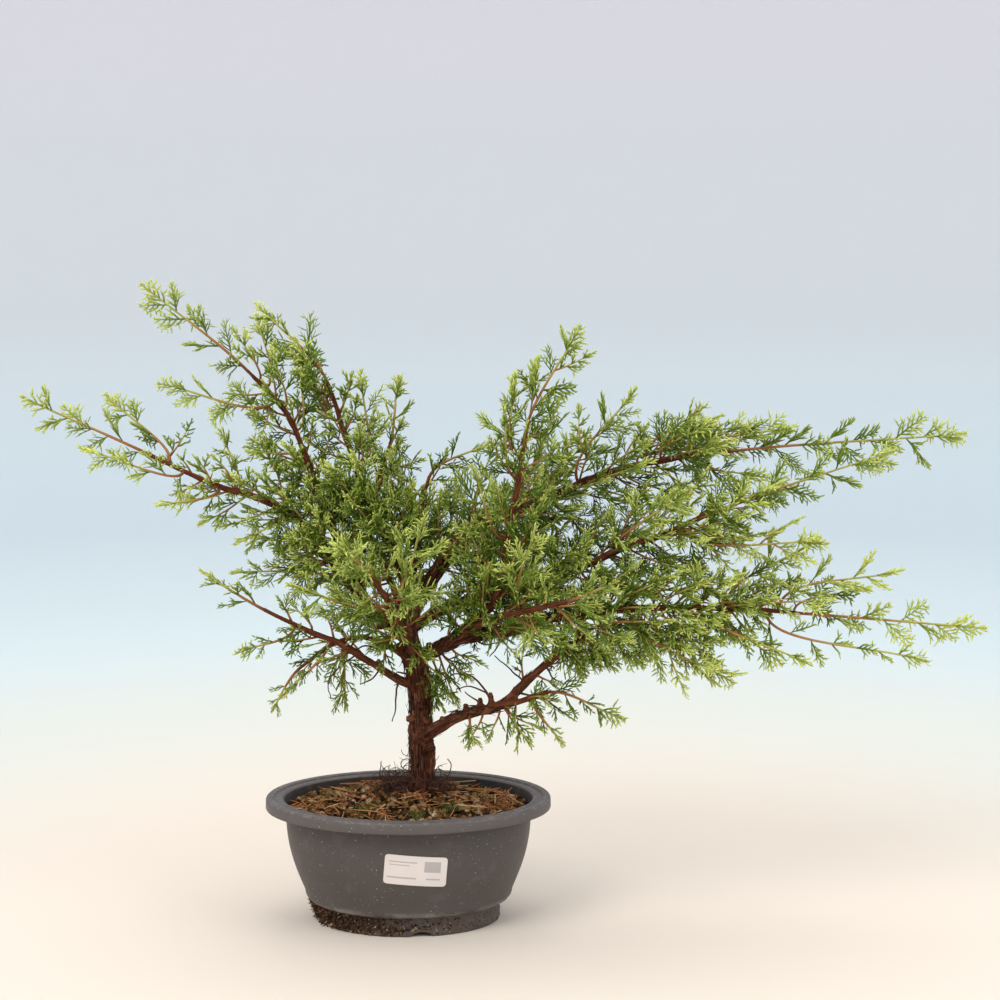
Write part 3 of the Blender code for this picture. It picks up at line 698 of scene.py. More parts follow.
def ground(x, y):
    """Height of the bed at a place, with its soft humps."""
    share = min(bed_share(x, y), 1)
    hump = noise.noise(Vector((x * 55, y * 55, 3.0))) * 1.6 * MM
    return SOIL_EDGE + SOIL_RISE * (1 - share**2) ** 1.5 + hump * (1 - share**4)


soil_rows = []
for z in (17.6 * MM, 20 * MM, 30 * MM, 45 * MM, 60 * MM, 75 * MM, SOIL_EDGE - 1.5 * MM):
    half_x, half_y = inside_of_wall(z)
    if z < SHOULDER_Z:
        half_x, half_y = FOOT_X - 3.2 * MM, FOOT_Y - 3.2 * MM
    soil_rows.append((half_x - SOIL_GAP, half_y - SOIL_GAP, z))
for share in np.linspace(1.0, 0.06, 26):
    soil_rows.append((SOIL_X * share, SOIL_Y * share, SOIL_EDGE))
bed = ringed("soil_bed", soil_rows, 96)
for vertex in bed.data.vertices:
    if vertex.co.z > SOIL_EDGE - 0.5 * MM:
        x, y, _ = vertex.co
        vertex.co.z = ground(x, y) - 1.6 * MM + noise.noise(vertex.co * 420) * 0.9 * MM
smooth(bed, 60)

# %% Soil finish
clay, tree, shader = new_material("clay_granules", 0.9, 0.08)
kind, tone, green_share = tint_node(tree)[:3]
grain = noise_of(tree, 700, 4)
body = mix(tree, ramp(tree, kind, 0.15, 0.5), (0.013, 0.006, 0.002, 1), (0.13, 0.058, 0.020, 1))
body = mix(tree, ramp(tree, kind, 0.5, 0.8), body, (0.29, 0.165, 0.060, 1))
body = mix(tree, ramp(tree, kind, 0.8, 0.98), body, (0.56, 0.43, 0.27, 1))
stain = mix(tree, tone, (0.10, 0.13, 0.035, 1), (0.16, 0.20, 0.055, 1))
body = mix(tree, times(tree, ramp(tree, grain, 0.35, 0.6), green_share), body, stain)
# Painted shade: the granules are darkened where their grain dips, as shade in the hollows and between them.
painted_shade_in_hollows = times(tree, ramp(tree, grain, 0.66, 0.42), 0.65)
body = mix(tree, painted_shade_in_hollows, body, (0.018, 0.008, 0.003, 1))
paint(tree, shader, body)
bump(tree, shader, grain, 0.7, 0.6 * MM)

# Painted shade: the bed under the granules is earth painted almost black, as the shade in the gaps between
# them.
earth_with_painted_shade, tree, shader = new_material("earth_with_painted_shade", 0.95, 0.05)
clods = ramp(tree, noise_of(tree, 500, 5), 0.4, 0.65)
body = mix(tree, clods, (0.008, 0.004, 0.002, 1), (0.045, 0.022, 0.009, 1))
paint(tree, shader, body)
bump(tree, shader, noise_of(tree, 600, 4), 0.8, 1.0 * MM)
bed.data.materials.append(earth_with_painted_shade)
wear(bed, "soil_granules", "soil")


# %% Lump templates
def lump(seed, rough=0.30):
    """A lumpy little stone of radius 1: a cube, cut once and rounded."""
    only()
    bpy.ops.mesh.primitive_cube_add(size=2)
    obj = named("lump")
    bpy.ops.object.mode_set(mode="EDIT")
    bpy.ops.mesh.subdivide(number_cuts=1)
    bpy.ops.object.mode_set(mode="OBJECT")
    for vertex in obj.data.vertices:
        place = vertex.co.normalized()
        push = noise.noise(place * 0.9 + Vector((seed * 7, 0, 0))) * rough * 1.5
        push += noise.noise(place * 2.4 + Vector((0, seed * 5, 0))) * rough * 0.7
        vertex.co = place * (1 + push)
    return arrays(obj)


def turned(rng):
    """A random turn, as a matrix for rows of points."""
    q = np.array([rng.gauss(0, 1) for _ in range(4)])
    a, b, c, d = q / np.linalg.norm(q)
    return np.array(
        [
            [1 - 2 * (c * c + d * d), 2 * (b * c - a * d), 2 * (b * d + a * c)],
            [2 * (b * c + a * d), 1 - 2 * (b * b + d * d), 2 * (c * d - a * b)],
            [2 * (b * d - a * c), 2 * (c * d + a * b), 1 - 2 * (b * b + c * c)],
        ]
    )


LUMPS = [lump(seed) for seed in range(8)]

# %% Granules
# Moss stains granules in patches: place along and across from the axis, and radius, in millimetres.
MOSS = [(-66, 8, 11), (-28, -38, 13), (22, 4, 10), (-74, -14, 9), (34, -34, 9), (50, 20, 10),
        (-6, 40, 12), (8, -50, 8), (-48, 26, 9)]
GRANULES = 2150


def mossy(x, y):
    near = 0.0
    for moss_x, moss_y, radius in MOSS:
        away = math.hypot(x - AXIS_X - moss_x * MM, y - AXIS_Y - moss_y * MM) / (radius * MM)
        near = max(near, 1.25 - away)
    return min(max(near, 0), 1)


def bed_place(rng, reach):
    """A random place on the bed, out to a share of its size."""
    while True:
        x, y = rng.uniform(-1, 1), rng.uniform(-1, 1)
        if x * x + y * y < reach * reach:
            return AXIS_X + x * SOIL_X, AXIS_Y + y * SOIL_Y


rng = random.Random(5)
parts = []
for index in range(GRANULES):
    x, y = bed_place(rng, 0.985)
    radius = rng.choice((1.4, 2.0, 2.4, 2.8, 3.3)) * rng.uniform(0.85, 1.12) * MM
    radius = min(radius, (1 - bed_share(x, y)) * SOIL_Y + 1.0 * MM)
    points, faces = LUMPS[index % len(LUMPS)]
    stretch = np.array([rng.uniform(0.85, 1.25), rng.uniform(0.8, 1.05), rng.uniform(0.7, 0.95)])
    place = np.array([x, y, ground(x, y) + rng.uniform(-0.9, 0.9) * MM])
    points = (points * stretch * radius) @ turned(rng).T + place
    moss = mossy(x, y) * rng.uniform(0.3, 1.0)
    parts.append((points, faces, tint_of(len(points), rng.random(), rng.random(), moss), 0))
granules = build("soil_granules_top", parts, [clay])
wear(granules, "soil_granules")

# %% [markdown]
# Fallen scale leaves, straw and dead stems lie over the granules, moss grows between them, fine dead
# roots hang about the foot of the trunk, and crumbs of earth stick to the foot of the pot. Each is a
# thin rod or a lump, copied many times, which is quick to lay out and true to the real litter.


# %% Rod template
def rod(rows, sides=4):
    """A blunt rod along +X from rows of (place, radius), as points and faces."""
    only()
    bpy.ops.mesh.primitive_circle_add(vertices=sides, radius=rows[0][1], fill_type="NGON")
    obj = named("rod")
    bpy.ops.object.mode_set(mode="EDIT")
    for (before, radius), (after, next_radius) in zip(rows, rows[1:]):
        bpy.ops.mesh.extrude_region_move(TRANSFORM_OT_translate={"value": (0, 0, after - before)})
        scale = next_radius / radius
        bpy.ops.transform.resize(value=(scale, scale, 1), center_override=(0, 0, after))
    bpy.ops.mesh.select_all(action="SELECT")
    bpy.ops.mesh.normals_make_consistent(inside=False)
    bpy.ops.object.mode_set(mode="OBJECT")
    points, faces = arrays(obj)
    return points[:, [2, 0, 1]], faces


def lay_rod(template, start, heading, normal, length, radius, bend=0.0):
    """The template from a start along a heading, curved sideways by a share of its length."""
    points, faces = template
    heading = heading / np.linalg.norm(heading)
    side = np.cross(normal, heading)
    side = side / max(np.linalg.norm(side), 1e-9)
    over = np.cross(heading, side)
    x = points[:, :1]
    placed = start + heading * (x * length) + side * (bend * length * x**2)
    return placed + (side * points[:, 1:2] + over * points[:, 2:3]) * radius, faces


UP = np.array([0.0, 0, 1])
NEEDLE = rod([(0.0, 0.5), (0.3, 1.0), (0.7, 0.9), (1.0, 0.35)])
STRAW = rod([(0.0, 0.8), (0.15, 1.0), (0.35, 0.95), (0.55, 1.0), (0.75, 0.8), (0.9, 0.7), (1.0, 0.4)], 5)

# %% Litter finish
litter, tree, shader = new_material("dry_litter", 0.75, 0.3)
kind, tone = tint_node(tree)[:2]
body = mix(tree, kind, (0.22, 0.070, 0.020, 1), (0.56, 0.240, 0.080, 1))
body = mix(tree, ramp(tree, kind, 0.8, 1.0), body, (0.62, 0.42, 0.22, 1))
rot = times(tree, ramp(tree, noise_of(tree, 500, 3), 0.4, 0.7), 0.45)
body = mix(tree, rot, body, (0.12, 0.05, 0.022, 1))
paint(tree, shader, body)
bump(tree, shader, noise_of(tree, 1300, 2), 0.4, 0.3 * MM)

# %% Needles and straw
# Litter gathers in drifts: place along and across from the axis, in millimetres.
DRIFTS = [(-74, -10), (-58, -34), (80, -4), (74, 16), (66, -24), (-20, -46), (6, -24)]
NEEDLES, STRAWS = 380, 18
rng = random.Random(8)
parts = []
for _ in range(NEEDLES):
    x, y = bed_place(rng, 0.92)
    if rng.random() < 0.45:
        drift_x, drift_y = rng.choice(DRIFTS)
        x, y = AXIS_X + (drift_x + rng.gauss(0, 7)) * MM, AXIS_Y + (drift_y + rng.gauss(0, 7)) * MM
    away = bed_share(x, y)
    if away > 0.93:
        x, y = AXIS_X + (x - AXIS_X) * 0.93 / away, AXIS_Y + (y - AXIS_Y) * 0.93 / away
    turn = rng.uniform(0, 2 * math.pi)
    length = rng.uniform(5, 15) * MM
    heading = np.array([math.cos(turn), math.sin(turn), rng.gauss(0.06, 0.28)])
    lift = rng.uniform(1.0, 3.0) * MM + abs(heading[2]) * length * 0.3
    middle = np.array([x, y, ground(x, y) + lift])
    start = middle - heading * length / 2
    radius = rng.uniform(0.35, 0.55) * MM
    bend = rng.uniform(-0.25, 0.25)
    laid, faces = lay_rod(NEEDLE, start, heading, UP, length, radius, bend)
    parts.append((laid, faces, tint_of(len(laid), rng.random(), rng.random()), 0))
for _ in range(STRAWS):
    x, y = bed_place(rng, 0.72)
    turn = rng.uniform(0, 2 * math.pi)
    length = rng.uniform(24, 52) * MM
    heading = np.array([math.cos(turn), 0.6 * math.sin(turn), rng.uniform(-0.02, 0.05)])
    start = np.array([x, y, ground(x, y) + rng.uniform(2.4, 3.6) * MM]) - heading * length / 2
    bend = rng.uniform(-0.3, 0.3)
    laid, faces = lay_rod(STRAW, start, heading, UP, length, 0.55 * MM, bend)
    shares = np.array([bed_share(p[0], p[1]) for p in laid])
    scale = np.clip(shares, 0, 0.97) / np.maximum(shares, 1e-6)
    laid[:, 0] = AXIS_X + (laid[:, 0] - AXIS_X) * scale
    laid[:, 1] = AXIS_Y + (laid[:, 1] - AXIS_Y) * scale
    level = np.array([ground(p[0], p[1]) for p in laid]) + 2.2 * MM
    laid[:, 2] = np.maximum(laid[:, 2], level)
    parts.append((laid, faces, tint_of(len(laid), rng.uniform(0.5, 1.0), rng.random()), 0))
wear(build("fallen_litter", parts, [litter]), "soil_granules")

# %% Moss
moss_green, tree, shader = new_material("moss", 0.95, 0.1)
kind, tone = tint_node(tree)[:2]
body = mix(tree, kind, (0.040, 0.052, 0.014, 1), (0.150, 0.165, 0.038, 1))
body = mix(tree, ramp(tree, tone, 0.75, 0.95), body, (0.055, 0.140, 0.075, 1))
paint(tree, shader, body)
bump(tree, shader, noise_of(tree, 1500, 2), 0.4, 0.3 * MM)
SPIKE = rod([(0.0, 1.0), (0.6, 0.75), (1.0, 0.2)], 3)
SPIKES = 220
rng = random.Random(13)
parts = []
for moss_x, moss_y, radius in MOSS:
    patch_tone = rng.random()
    for _ in range(SPIKES):
        turn = rng.uniform(0, 2 * math.pi)
        away = radius * math.sqrt(rng.random()) * rng.uniform(0.5, 1.0)
        x = AXIS_X + (moss_x + away * math.cos(turn)) * MM
        y = AXIS_Y + (moss_y + away * math.sin(turn) * 0.8) * MM
        if bed_share(x, y) > 0.97:
            continue
        base = np.array([x, y, ground(x, y) + rng.uniform(-0.5, 1.3) * MM])
        heading = np.array([rng.gauss(0, 0.5), rng.gauss(0, 0.5), 1.0])
        height = rng.uniform(1.2, 2.6) * MM
        laid, faces = lay_rod(SPIKE, base, heading, np.array([1.0, 0, 0]), height, 0.42 * MM)
        parts.append((laid, faces, tint_of(len(laid), rng.random(), patch_tone), 0))
wear(build("moss_tufts", parts, [moss_green]), "soil_granules")

# %% Crumbs of earth on the pot
crust, tree, shader = new_material("dried_earth", 0.95, 0.05)
kind, tone = tint_node(tree)[:2]
body = mix(tree, kind, (0.024, 0.013, 0.009, 1), (0.120, 0.064, 0.038, 1))
body = mix(tree, ramp(tree, tone, 0.90, 0.96), body, (0.36, 0.27, 0.18, 1))
paint(tree, shader, body)
bump(tree, shader, noise_of(tree, 900, 3), 0.6, 0.4 * MM)
rng = random.Random(21)
CRUMB = lump(3, 0.35)
CRUMB_TRIES = 6400
parts = []
for _ in range(CRUMB_TRIES):
    turn = rng.uniform(0, 2 * math.pi)
    # The crust is thick at the pot's left end, where it swells out as far as the shoulder.
    left = 0.5 - 0.5 * math.cos(turn)
    if rng.random() > 0.10 + 0.90 * left**2.2:
        continue
    z = rng.betavariate(1.2, 1.5) * (12 + 7 * left) * MM + 0.7 * MM
    out = max(0.0, (z - FOOT_Z) / (SHOULDER_Z - FOOT_Z)) ** 0.7
    swell = min(1.0, z / SHOULDER_Z) * left**1.5 * rng.random() ** 0.4
    out = max(out, swell)
    half_x = FOOT_X + (SHOULDER_X - FOOT_X) * out
    half_y = FOOT_Y + (SHOULDER_Y - FOOT_Y) * out
    radius = rng.uniform(0.3, 0.45 + 1.15 * left) * MM
    x, y = AXIS_X + half_x * math.cos(turn), AXIS_Y + half_y * math.sin(turn)
    if abs(x - NOTCH_X) < 11 * MM and z < NOTCH_TOP + 1 * MM:
        continue
    points, faces = CRUMB
    grain = (3.2, 0.34, 0.34) if rng.random() < 0.35 * left else (1, 1, 1)
    laid = points * grain * radius @ turned(rng).T + np.array([x, y, max(z, 1.5 * radius)])
    laid[:, 2] = np.maximum(laid[:, 2], 0.0)
    parts.append((laid, faces, tint_of(len(laid), rng.random(), rng.random()), 0))
wear(build("earth_crumbs", parts, [crust]), "soil_granules")

# %% [markdown]
# The wood is one old trunk that forks into long, low limbs. By hand each would be a curve with its own
# thickness at each point. The curves are made mesh, joined and remeshed into one skin, so that the
# forks grow into each other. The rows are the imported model's own: along, across, up and radius in
# millimetres from where the pot's axis meets the top of the bed.

# %% Limbs
LIMBS = [
    ("trunk", [(9, 0, -24, 16), (9, 0, -10, 16), (9, 0, 2, 13), (10, 0, 20, 10.5), (10, 0, 42, 9.5),
               (9, 0, 74, 9), (4, 0, 106, 8.5), (-2, 2, 134, 7)]),
    ("lower_right", [(10, 0, 41, 5.2), (22, -8, 51, 5.0), (37, -15, 62, 4.7), (55, -20, 68, 4.3),
                     (75, -25, 74, 4), (97, -30, 97, 3.2), (127, -35, 123, 2.6), (142, -38, 135, 2)]),
    ("lower_right_fork", [(64, -22, 70, 2.8), (84, -30, 76, 2.4), (109, -38, 86, 1.8)]),
    ("middle_right", [(4, 0, 104, 6), (20, -3, 112, 6), (40, -8, 122, 5.5), (61, -12, 127, 5),
                      (82, -15, 132, 4.5), (106, -20, 140, 4), (151, -28, 148, 3.2),
                      (190, -32, 151, 2.6), (255, -38, 151, 2), (300, -40, 148, 1.6)]),
    ("upright", [(22, -4, 113, 4.4), (34, -12, 122, 4.2), (52, -22, 138, 4), (70, -32, 160, 3.6),
                 (77, -35, 190, 3), (83, -37, 230, 2.5), (88, -38, 262, 2), (92, -38, 288, 1.6)]),
    ("upper_right", [(-2, 2, 130, 6), (8, 7, 148, 5.6), (26, 12, 178, 5), (49, 16, 205, 4.5),
                     (88, 22, 220, 4), (119, 26, 233, 3.5), (154, 30, 247, 3), (197, 34, 258, 2.4),
                     (255, 38, 265, 1.8)]),
    ("second_right", [(-1, 2, 124, 4.4), (26, 8, 142, 4.2), (68, 8, 156, 3.8), (119, 2, 170, 3.2),
                      (166, -2, 192, 2.8), (197, -4, 203, 2.4), (232, -6, 219, 1.8)]),
    ("far_left", [(0, 1, 120, 5), (-16, 4, 134, 4.8), (-38, 8, 154, 4.4), (-60, 8, 184, 4),
                  (-84, 4, 214, 3.4), (-111, 0, 230, 2.8), (-149, -6, 243, 2.2),
                  (-199, -14, 268, 1.6)]),
    ("upper_left", [(-36, 8, 152, 4), (-45, 14, 172, 3.8), (-57, 18, 200, 3.4), (-69, 20, 230, 3),
                    (-80, 20, 262, 2.6), (-96, 20, 298, 2.2), (-125, 18, 330, 1.6)]),
    ("second_upper_left", [(-2, 2, 130, 4.4), (0, 10, 152, 4.2), (-10, 18, 183, 3.8),
                           (-29, 26, 223, 3.2), (-44, 28, 262, 2.6), (-56, 28, 300, 2),
                           (-64, 27, 322, 1.6)]),
    ("pale_back", [(-25, 24, 214, 2), (-27, 44, 234, 2), (-22, 66, 252, 1.7), (-17, 84, 268, 1.4)]),
    ("pale_centre", [(0, 9, 150, 2.4), (8, 34, 192, 2.2), (10, 48, 222, 1.9), (16, 57, 244, 1.5)]),
    ("lower_left", [(6, 0, 84, 3.4), (-8, -8, 91, 3.3), (-30, -20, 108, 2.9), (-50, -28, 122, 2.5),
                    (-76, -36, 134, 2.1), (-108, -46, 152, 1.6)]),
    ("small_left", [(4, 0, 100, 2.4), (-12, -10, 116, 2.2), (-36, -20, 126, 1.9),
                    (-61, -28, 119, 1.6), (-84, -34, 102, 1.3)]),
    ("back_left", [(-1, 2, 126, 3.6), (-9, 30, 146, 3.2), (-20, 60, 168, 2.6), (-36, 94, 188, 1.8)]),
    ("back_right", [(6, 6, 144, 3.2), (32, 44, 176, 2.8), (58, 78, 198, 2.2), (84, 108, 214, 1.6)]),
    ("front_left", [(4, 0, 106, 3.6), (0, -28, 128, 3.2), (-10, -56, 156, 2.6), (-22, -86, 182, 1.8)]),
    ("front_right", [(44, -17, 130, 3), (68, -46, 144, 2.6), (96, -74, 156, 2.2), (122, -96, 166, 1.6)]),
]
BED_TOP = SOIL_EDGE + SOIL_RISE
TREE_ORIGIN = np.array([AXIS_X, AXIS_Y, BED_TOP])


def tree_point(row):
    return TREE_ORIGIN + np.array(row[:3], float) * MM


def tree_rows(rows, spacing):
    """Smooth rows of (x, y, z, radius) in metres."""
    path = smooth_path(rows, spacing)
    return np.column_stack([TREE_ORIGIN + path[:, :3] * MM, path[:, 3] * MM])


LIMB_PATHS = {name: tree_rows(rows, 4.0) for name, rows in LIMBS}
print("limbs", len(LIMB_PATHS), "longest", max(len(path) for path in LIMB_PATHS.values()), "points")


# %% One skin of wood
def tapered_curve(name, path):
    curve = bpy.data.curves.new(name, "CURVE")
    curve.dimensions = "3D"
    curve.bevel_depth = 1.0
    curve.bevel_resolution = 2
    curve.use_fill_caps = True
    spline = curve.splines.new("POLY")
    spline.points.add(len(path) - 1)
    for point, (x, y, z, radius) in zip(spline.points, path):
        point.co = (x, y, z, 1)
        point.radius = radius
    obj = bpy.data.objects.new(name, curve)
    bpy.context.scene.collection.objects.link(obj)
    return obj


def one_skin(name, paths, voxel):
    """Curves made mesh, joined and remeshed into one surface."""
    curves = [tapered_curve(name, path) for path in paths]
    only(curves[0])
    for curve in curves:
        curve.select_set(True)
    bpy.ops.object.convert(target="MESH")
    bpy.ops.object.join()
    obj = named(name)
    remesh = obj.modifiers.new("skin", "REMESH")
    remesh.mode = "VOXEL"
    remesh.voxel_size = voxel
    soften = obj.modifiers.new("soften", "SMOOTH")
    soften.factor = 0.5
    soften.iterations = 3
    apply_modifiers(obj)
    return obj


WOOD_CAP = 9.8 * MM
lumpy = []
for name, path in LIMB_PATHS.items():
    swollen = path.copy()
    for i, row in enumerate(swollen):
        knot = noise.noise(Vector(row[:3]) * 45 + Vector((5, 0, 0)))
        row[3] = min(row[3] * (1.0 + 0.22 * knot) + 0.15 * MM, WOOD_CAP)
        sway = noise.noise_vector(Vector(row[:3]) * 38) * row[3] * 0.35 * min(i / 6, 1)
        row[:3] += np.array(sway)
    lumpy.append(swollen)
# Root swell at the bed and short stubs of cut branches: start, end, start and end radius.
STUBS = [
    ((9, 0, 4), (17, -6, -6), 5, 3), ((9, 0, 4), (1, -6, -6), 5, 3), ((9, 0, 4), (8, 8, -6), 5, 3),
    ((12, -4, 40), (19, -9, 33), 6, 4.5),
    ((8, -5, 68), (15, -12, 73), 4, 3), ((11, -5, 60), (16, -12, 58), 3.2, 2.4),
    ((6, -4, 57), (0, -10, 60), 3, 2.2), ((45, -17, 63), (46, -19, 73), 3, 2),
    ((57, -20, 68), (57, -22, 78), 3, 2), ((66, -22, 71), (65, -24, 83), 2.6, 1.6),
    ((30, -12, 54), (27, -16, 62), 2.6, 1.8), ((-14, 4, 132), (-24, -2, 131), 3.2, 2.2),
    ((2, 2, 112), (-8, -6, 116), 4, 2.6), ((18, -3, 111), (17, -10, 119), 3.4, 2.4),
    ((-20, -14, 100), (-22, -18, 108), 2.2, 1.4),
]
for start, end, first, last in STUBS:
    lumpy.append(tree_rows([(*start, first), (*end, last)], 3.0))
wood = one_skin("old_wood", lumpy, 1.0 * MM)
print("wood", len(wood.data.polygons), "faces")

# %% [markdown]
# Old juniper bark is red-brown and splits into long fibres that peel away. The skin is pushed in and
# out along each limb's own direction, so the ridges follow the wood. Each point also keeps its place
# along and around its limb, which the finish reads for its grain.

# %% Ridges and fibre direction
samples = np.concatenate(list(LIMB_PATHS.values()))
lengths = np.concatenate([run_along(path) for path in LIMB_PATHS.values()])
headings = np.concatenate([unit(np.gradient(path[:, :3], axis=0)) for path in LIMB_PATHS.values()])
finder = KDTree(len(samples))
for index, row in enumerate(samples):
    finder.insert(row[:3], index)
finder.balance()


def along_wood(point):
    """Nearest limb sample: distance along it, its heading, its radius and its middle."""
    _, index, _ = finder.find(point)
    heading = headings[index]
    ahead = float(np.dot(np.array(point) - samples[index, :3], heading))
    return lengths[index] + ahead, heading, samples[index, 3], samples[index, :3] + heading * ahead


count = len(wood.data.vertices)
fibre, tint, pushed = np.zeros((count, 3)), np.ones((count, 4)), []
for index, vertex in enumerate(wood.data.vertices):
    length, heading, radius, middle = along_wood(vertex.co)
    out = np.array(vertex.co) - middle
    place = Vector(out * 420) + Vector((length * 26, length * 14, 0))
    ridge = abs(noise.noise(place)) * 2 - 0.5
    broad = noise.noise(Vector(vertex.co) * 130)
    depth = min(radius * 0.16, 1.1 * MM)
    pushed.append(vertex.co + vertex.normal * float(ridge * depth * 0.8 + broad * depth * 1.2))
    flat = out - heading * float(np.dot(out, heading))
    fibre[index] = (flat[0], flat[1] + flat[2] * 1.3, length)
    tint[index, :2] = (min(radius / (9 * MM), 1), ridge * 0.5 + 0.5)
for vertex, place in zip(wood.data.vertices, pushed):
    vertex.co = place
fibre_rows = wood.data.attributes.new("fibre", "FLOAT_VECTOR", "POINT")
fibre_rows.data.foreach_set("vector", fibre.astype(np.float32).ravel())
tint_rows = wood.data.attributes.new("tint", "FLOAT_COLOR", "POINT")
tint_rows.data.foreach_set("color", tint.astype(np.float32).ravel())
smooth(wood, 70)

# %% Bark finish
bark, tree, shader = new_material("juniper_bark", 0.85, 0.12)
old, ridge = tint_node(tree)[:2]
direction = node(tree, "ShaderNodeAttribute", attribute_name="fibre").outputs["Vector"]
grain = node(tree, "ShaderNodeMapping", {"Vector": direction, "Scale": (1, 1, 0.11)}).outputs["Vector"]
fine = node(tree, "ShaderNodeTexNoise", {"Vector": grain, "Scale": 1400.0, "Detail": 5.0}).outputs["Fac"]
coarse = node(tree, "ShaderNodeTexNoise", {"Vector": grain, "Scale": 420.0, "Detail": 4.0}).outputs["Fac"]
young = mix(tree, ramp(tree, fine, 0.35, 0.7), (0.080, 0.021, 0.008, 1), (0.215, 0.068, 0.028, 1))
aged = mix(tree, ramp(tree, coarse, 0.35, 0.65), (0.017, 0.005, 0.003, 1), (0.165, 0.052, 0.025, 1))
flaked = grouped(tree, BLOTCH, Scale=85.0, Low=0.46, High=0.60)
aged = mix(tree, times(tree, flaked, 0.6), aged, (0.370, 0.140, 0.075, 1))
cracks = times(tree, ramp(tree, fine, 0.60, 0.40), 0.55)
aged = mix(tree, cracks, aged, (0.030, 0.010, 0.005, 1))
knots = grouped(tree, BLOTCH, Scale=150.0, Low=0.60, High=0.68)
aged = mix(tree, times(tree, knots, 0.8), aged, (0.010, 0.004, 0.002, 1))
body = mix(tree, ramp(tree, old, 0.22, 0.55), young, aged)
furrows = times(tree, ramp(tree, ridge, 0.35, 0.15), 0.5)
body = mix(tree, furrows, body, (0.018, 0.007, 0.004, 1))
paint(tree, shader, body)
relief = math_node(tree, "ADD", fine, times(tree, coarse, 1.4))
bump(tree, shader, relief, 0.8, 0.7 * MM)
wood.data.materials.append(bark)
wear(wood, "bark", "trunk_and_limbs")

# %% [markdown]
# Ribbons of bark lift off the trunk and the old limbs, a few tufts of fibre stick out where limbs fork,
# and thin dead twigs and hair roots are left inside the crown. They are rods and flat strips laid along
# the limbs, each with its own bend.

# %% Peeling bark
STRIP = rod([(0.0, 0.7), (0.2, 1.0), (0.5, 1.0), (0.8, 0.8), (1.0, 0.25)])


def perpendicular(heading, turn):
    side = np.cross(heading, [0.31, 0.93, 0.17])
    side = side / np.linalg.norm(side)
    return side * math.cos(turn) + np.cross(heading, side) * math.sin(turn)


def laid_strip(rng, row, heading, length, width, lift, tint):
    """A flat fibre strip on a limb's surface, whose end lifts."""
    out = perpendicular(heading, rng.uniform(0, 2 * math.pi))
    way = heading if rng.random() < 0.5 else -heading
    points, faces = STRIP
    x = points[:, :1]
    across = np.cross(way, out)
    skew = rng.uniform(-0.25, 0.25)
    base = row[:3] + out * min(row[3], WOOD_CAP - 0.2 * MM) * 0.98
    laid = base + way * (x * length) + out * (points[:, 2:3] * 0.16 * MM + x**2 * lift)
    laid = laid + across * (points[:, 1:2] * width + x * skew * length * 0.3)
    return laid, faces, tint_of(len(laid), *tint), 0


strip_finish, tree, shader = new_material("bark_ribbon", 0.85, 0.1)
kind, tone = tint_node(tree)[:2]
body = mix(tree, kind, (0.045, 0.016, 0.010, 1), (0.21, 0.080, 0.042, 1))
body = mix(tree, ramp(tree, kind, 0.8, 1.0), body, (0.42, 0.19, 0.085, 1))
body = mix(tree, times(tree, noise_of(tree, 900, 3), 0.6), body, (0.03, 0.012, 0.008, 1))
paint(tree, shader, body)
bump(tree, shader, noise_of(tree, 1500, 2), 0.5, 0.3 * MM)
rng = random.Random(17)
parts = []
for name, path in LIMB_PATHS.items():
    way = unit(np.gradient(path[:, :3], axis=0))
    for i in range(1, len(path) - 2):
        radius = path[i, 3]
        if radius < 3.2 * MM:
            continue
        for _ in range(round(min(radius, 9 * MM) / MM * (1.5 if name == "trunk" else 0.8))):
            length = rng.uniform(5, 16) * MM * min(1, radius / (6 * MM) + 0.3)
            kind = rng.betavariate(1.4, 2.2)
            lift = rng.uniform(0, 1) ** 3 * 3.2 * MM
            tint = (kind, rng.random())
            width = rng.uniform(0.4, 1.3) * MM
            parts.append(laid_strip(rng, path[i], way[i], length, width, lift, tint))
# Tufts of loose fibre at the forks: place and count.
for place, fibres in (((62, -12, 128), 16), ((74, -20, 138), 12), ((10, -4, 44), 10), ((-3, -5, 108), 9)):
    for _ in range(fibres):
        heading = np.array([rng.gauss(0.1, 0.7), rng.gauss(-0.3, 0.5), rng.gauss(-0.2, 0.6)])
        laid, faces = lay_rod(NEEDLE, tree_point(place), heading, np.array([0.1, 1, 0.2]),
                              rng.uniform(5, 13) * MM, 0.3 * MM, rng.uniform(-0.5, 0.5))
        parts.append((laid, faces, tint_of(len(laid), rng.uniform(0.75, 1), rng.random()), 0))
wear(build("bark_ribbons", parts, [strip_finish]), "bark")

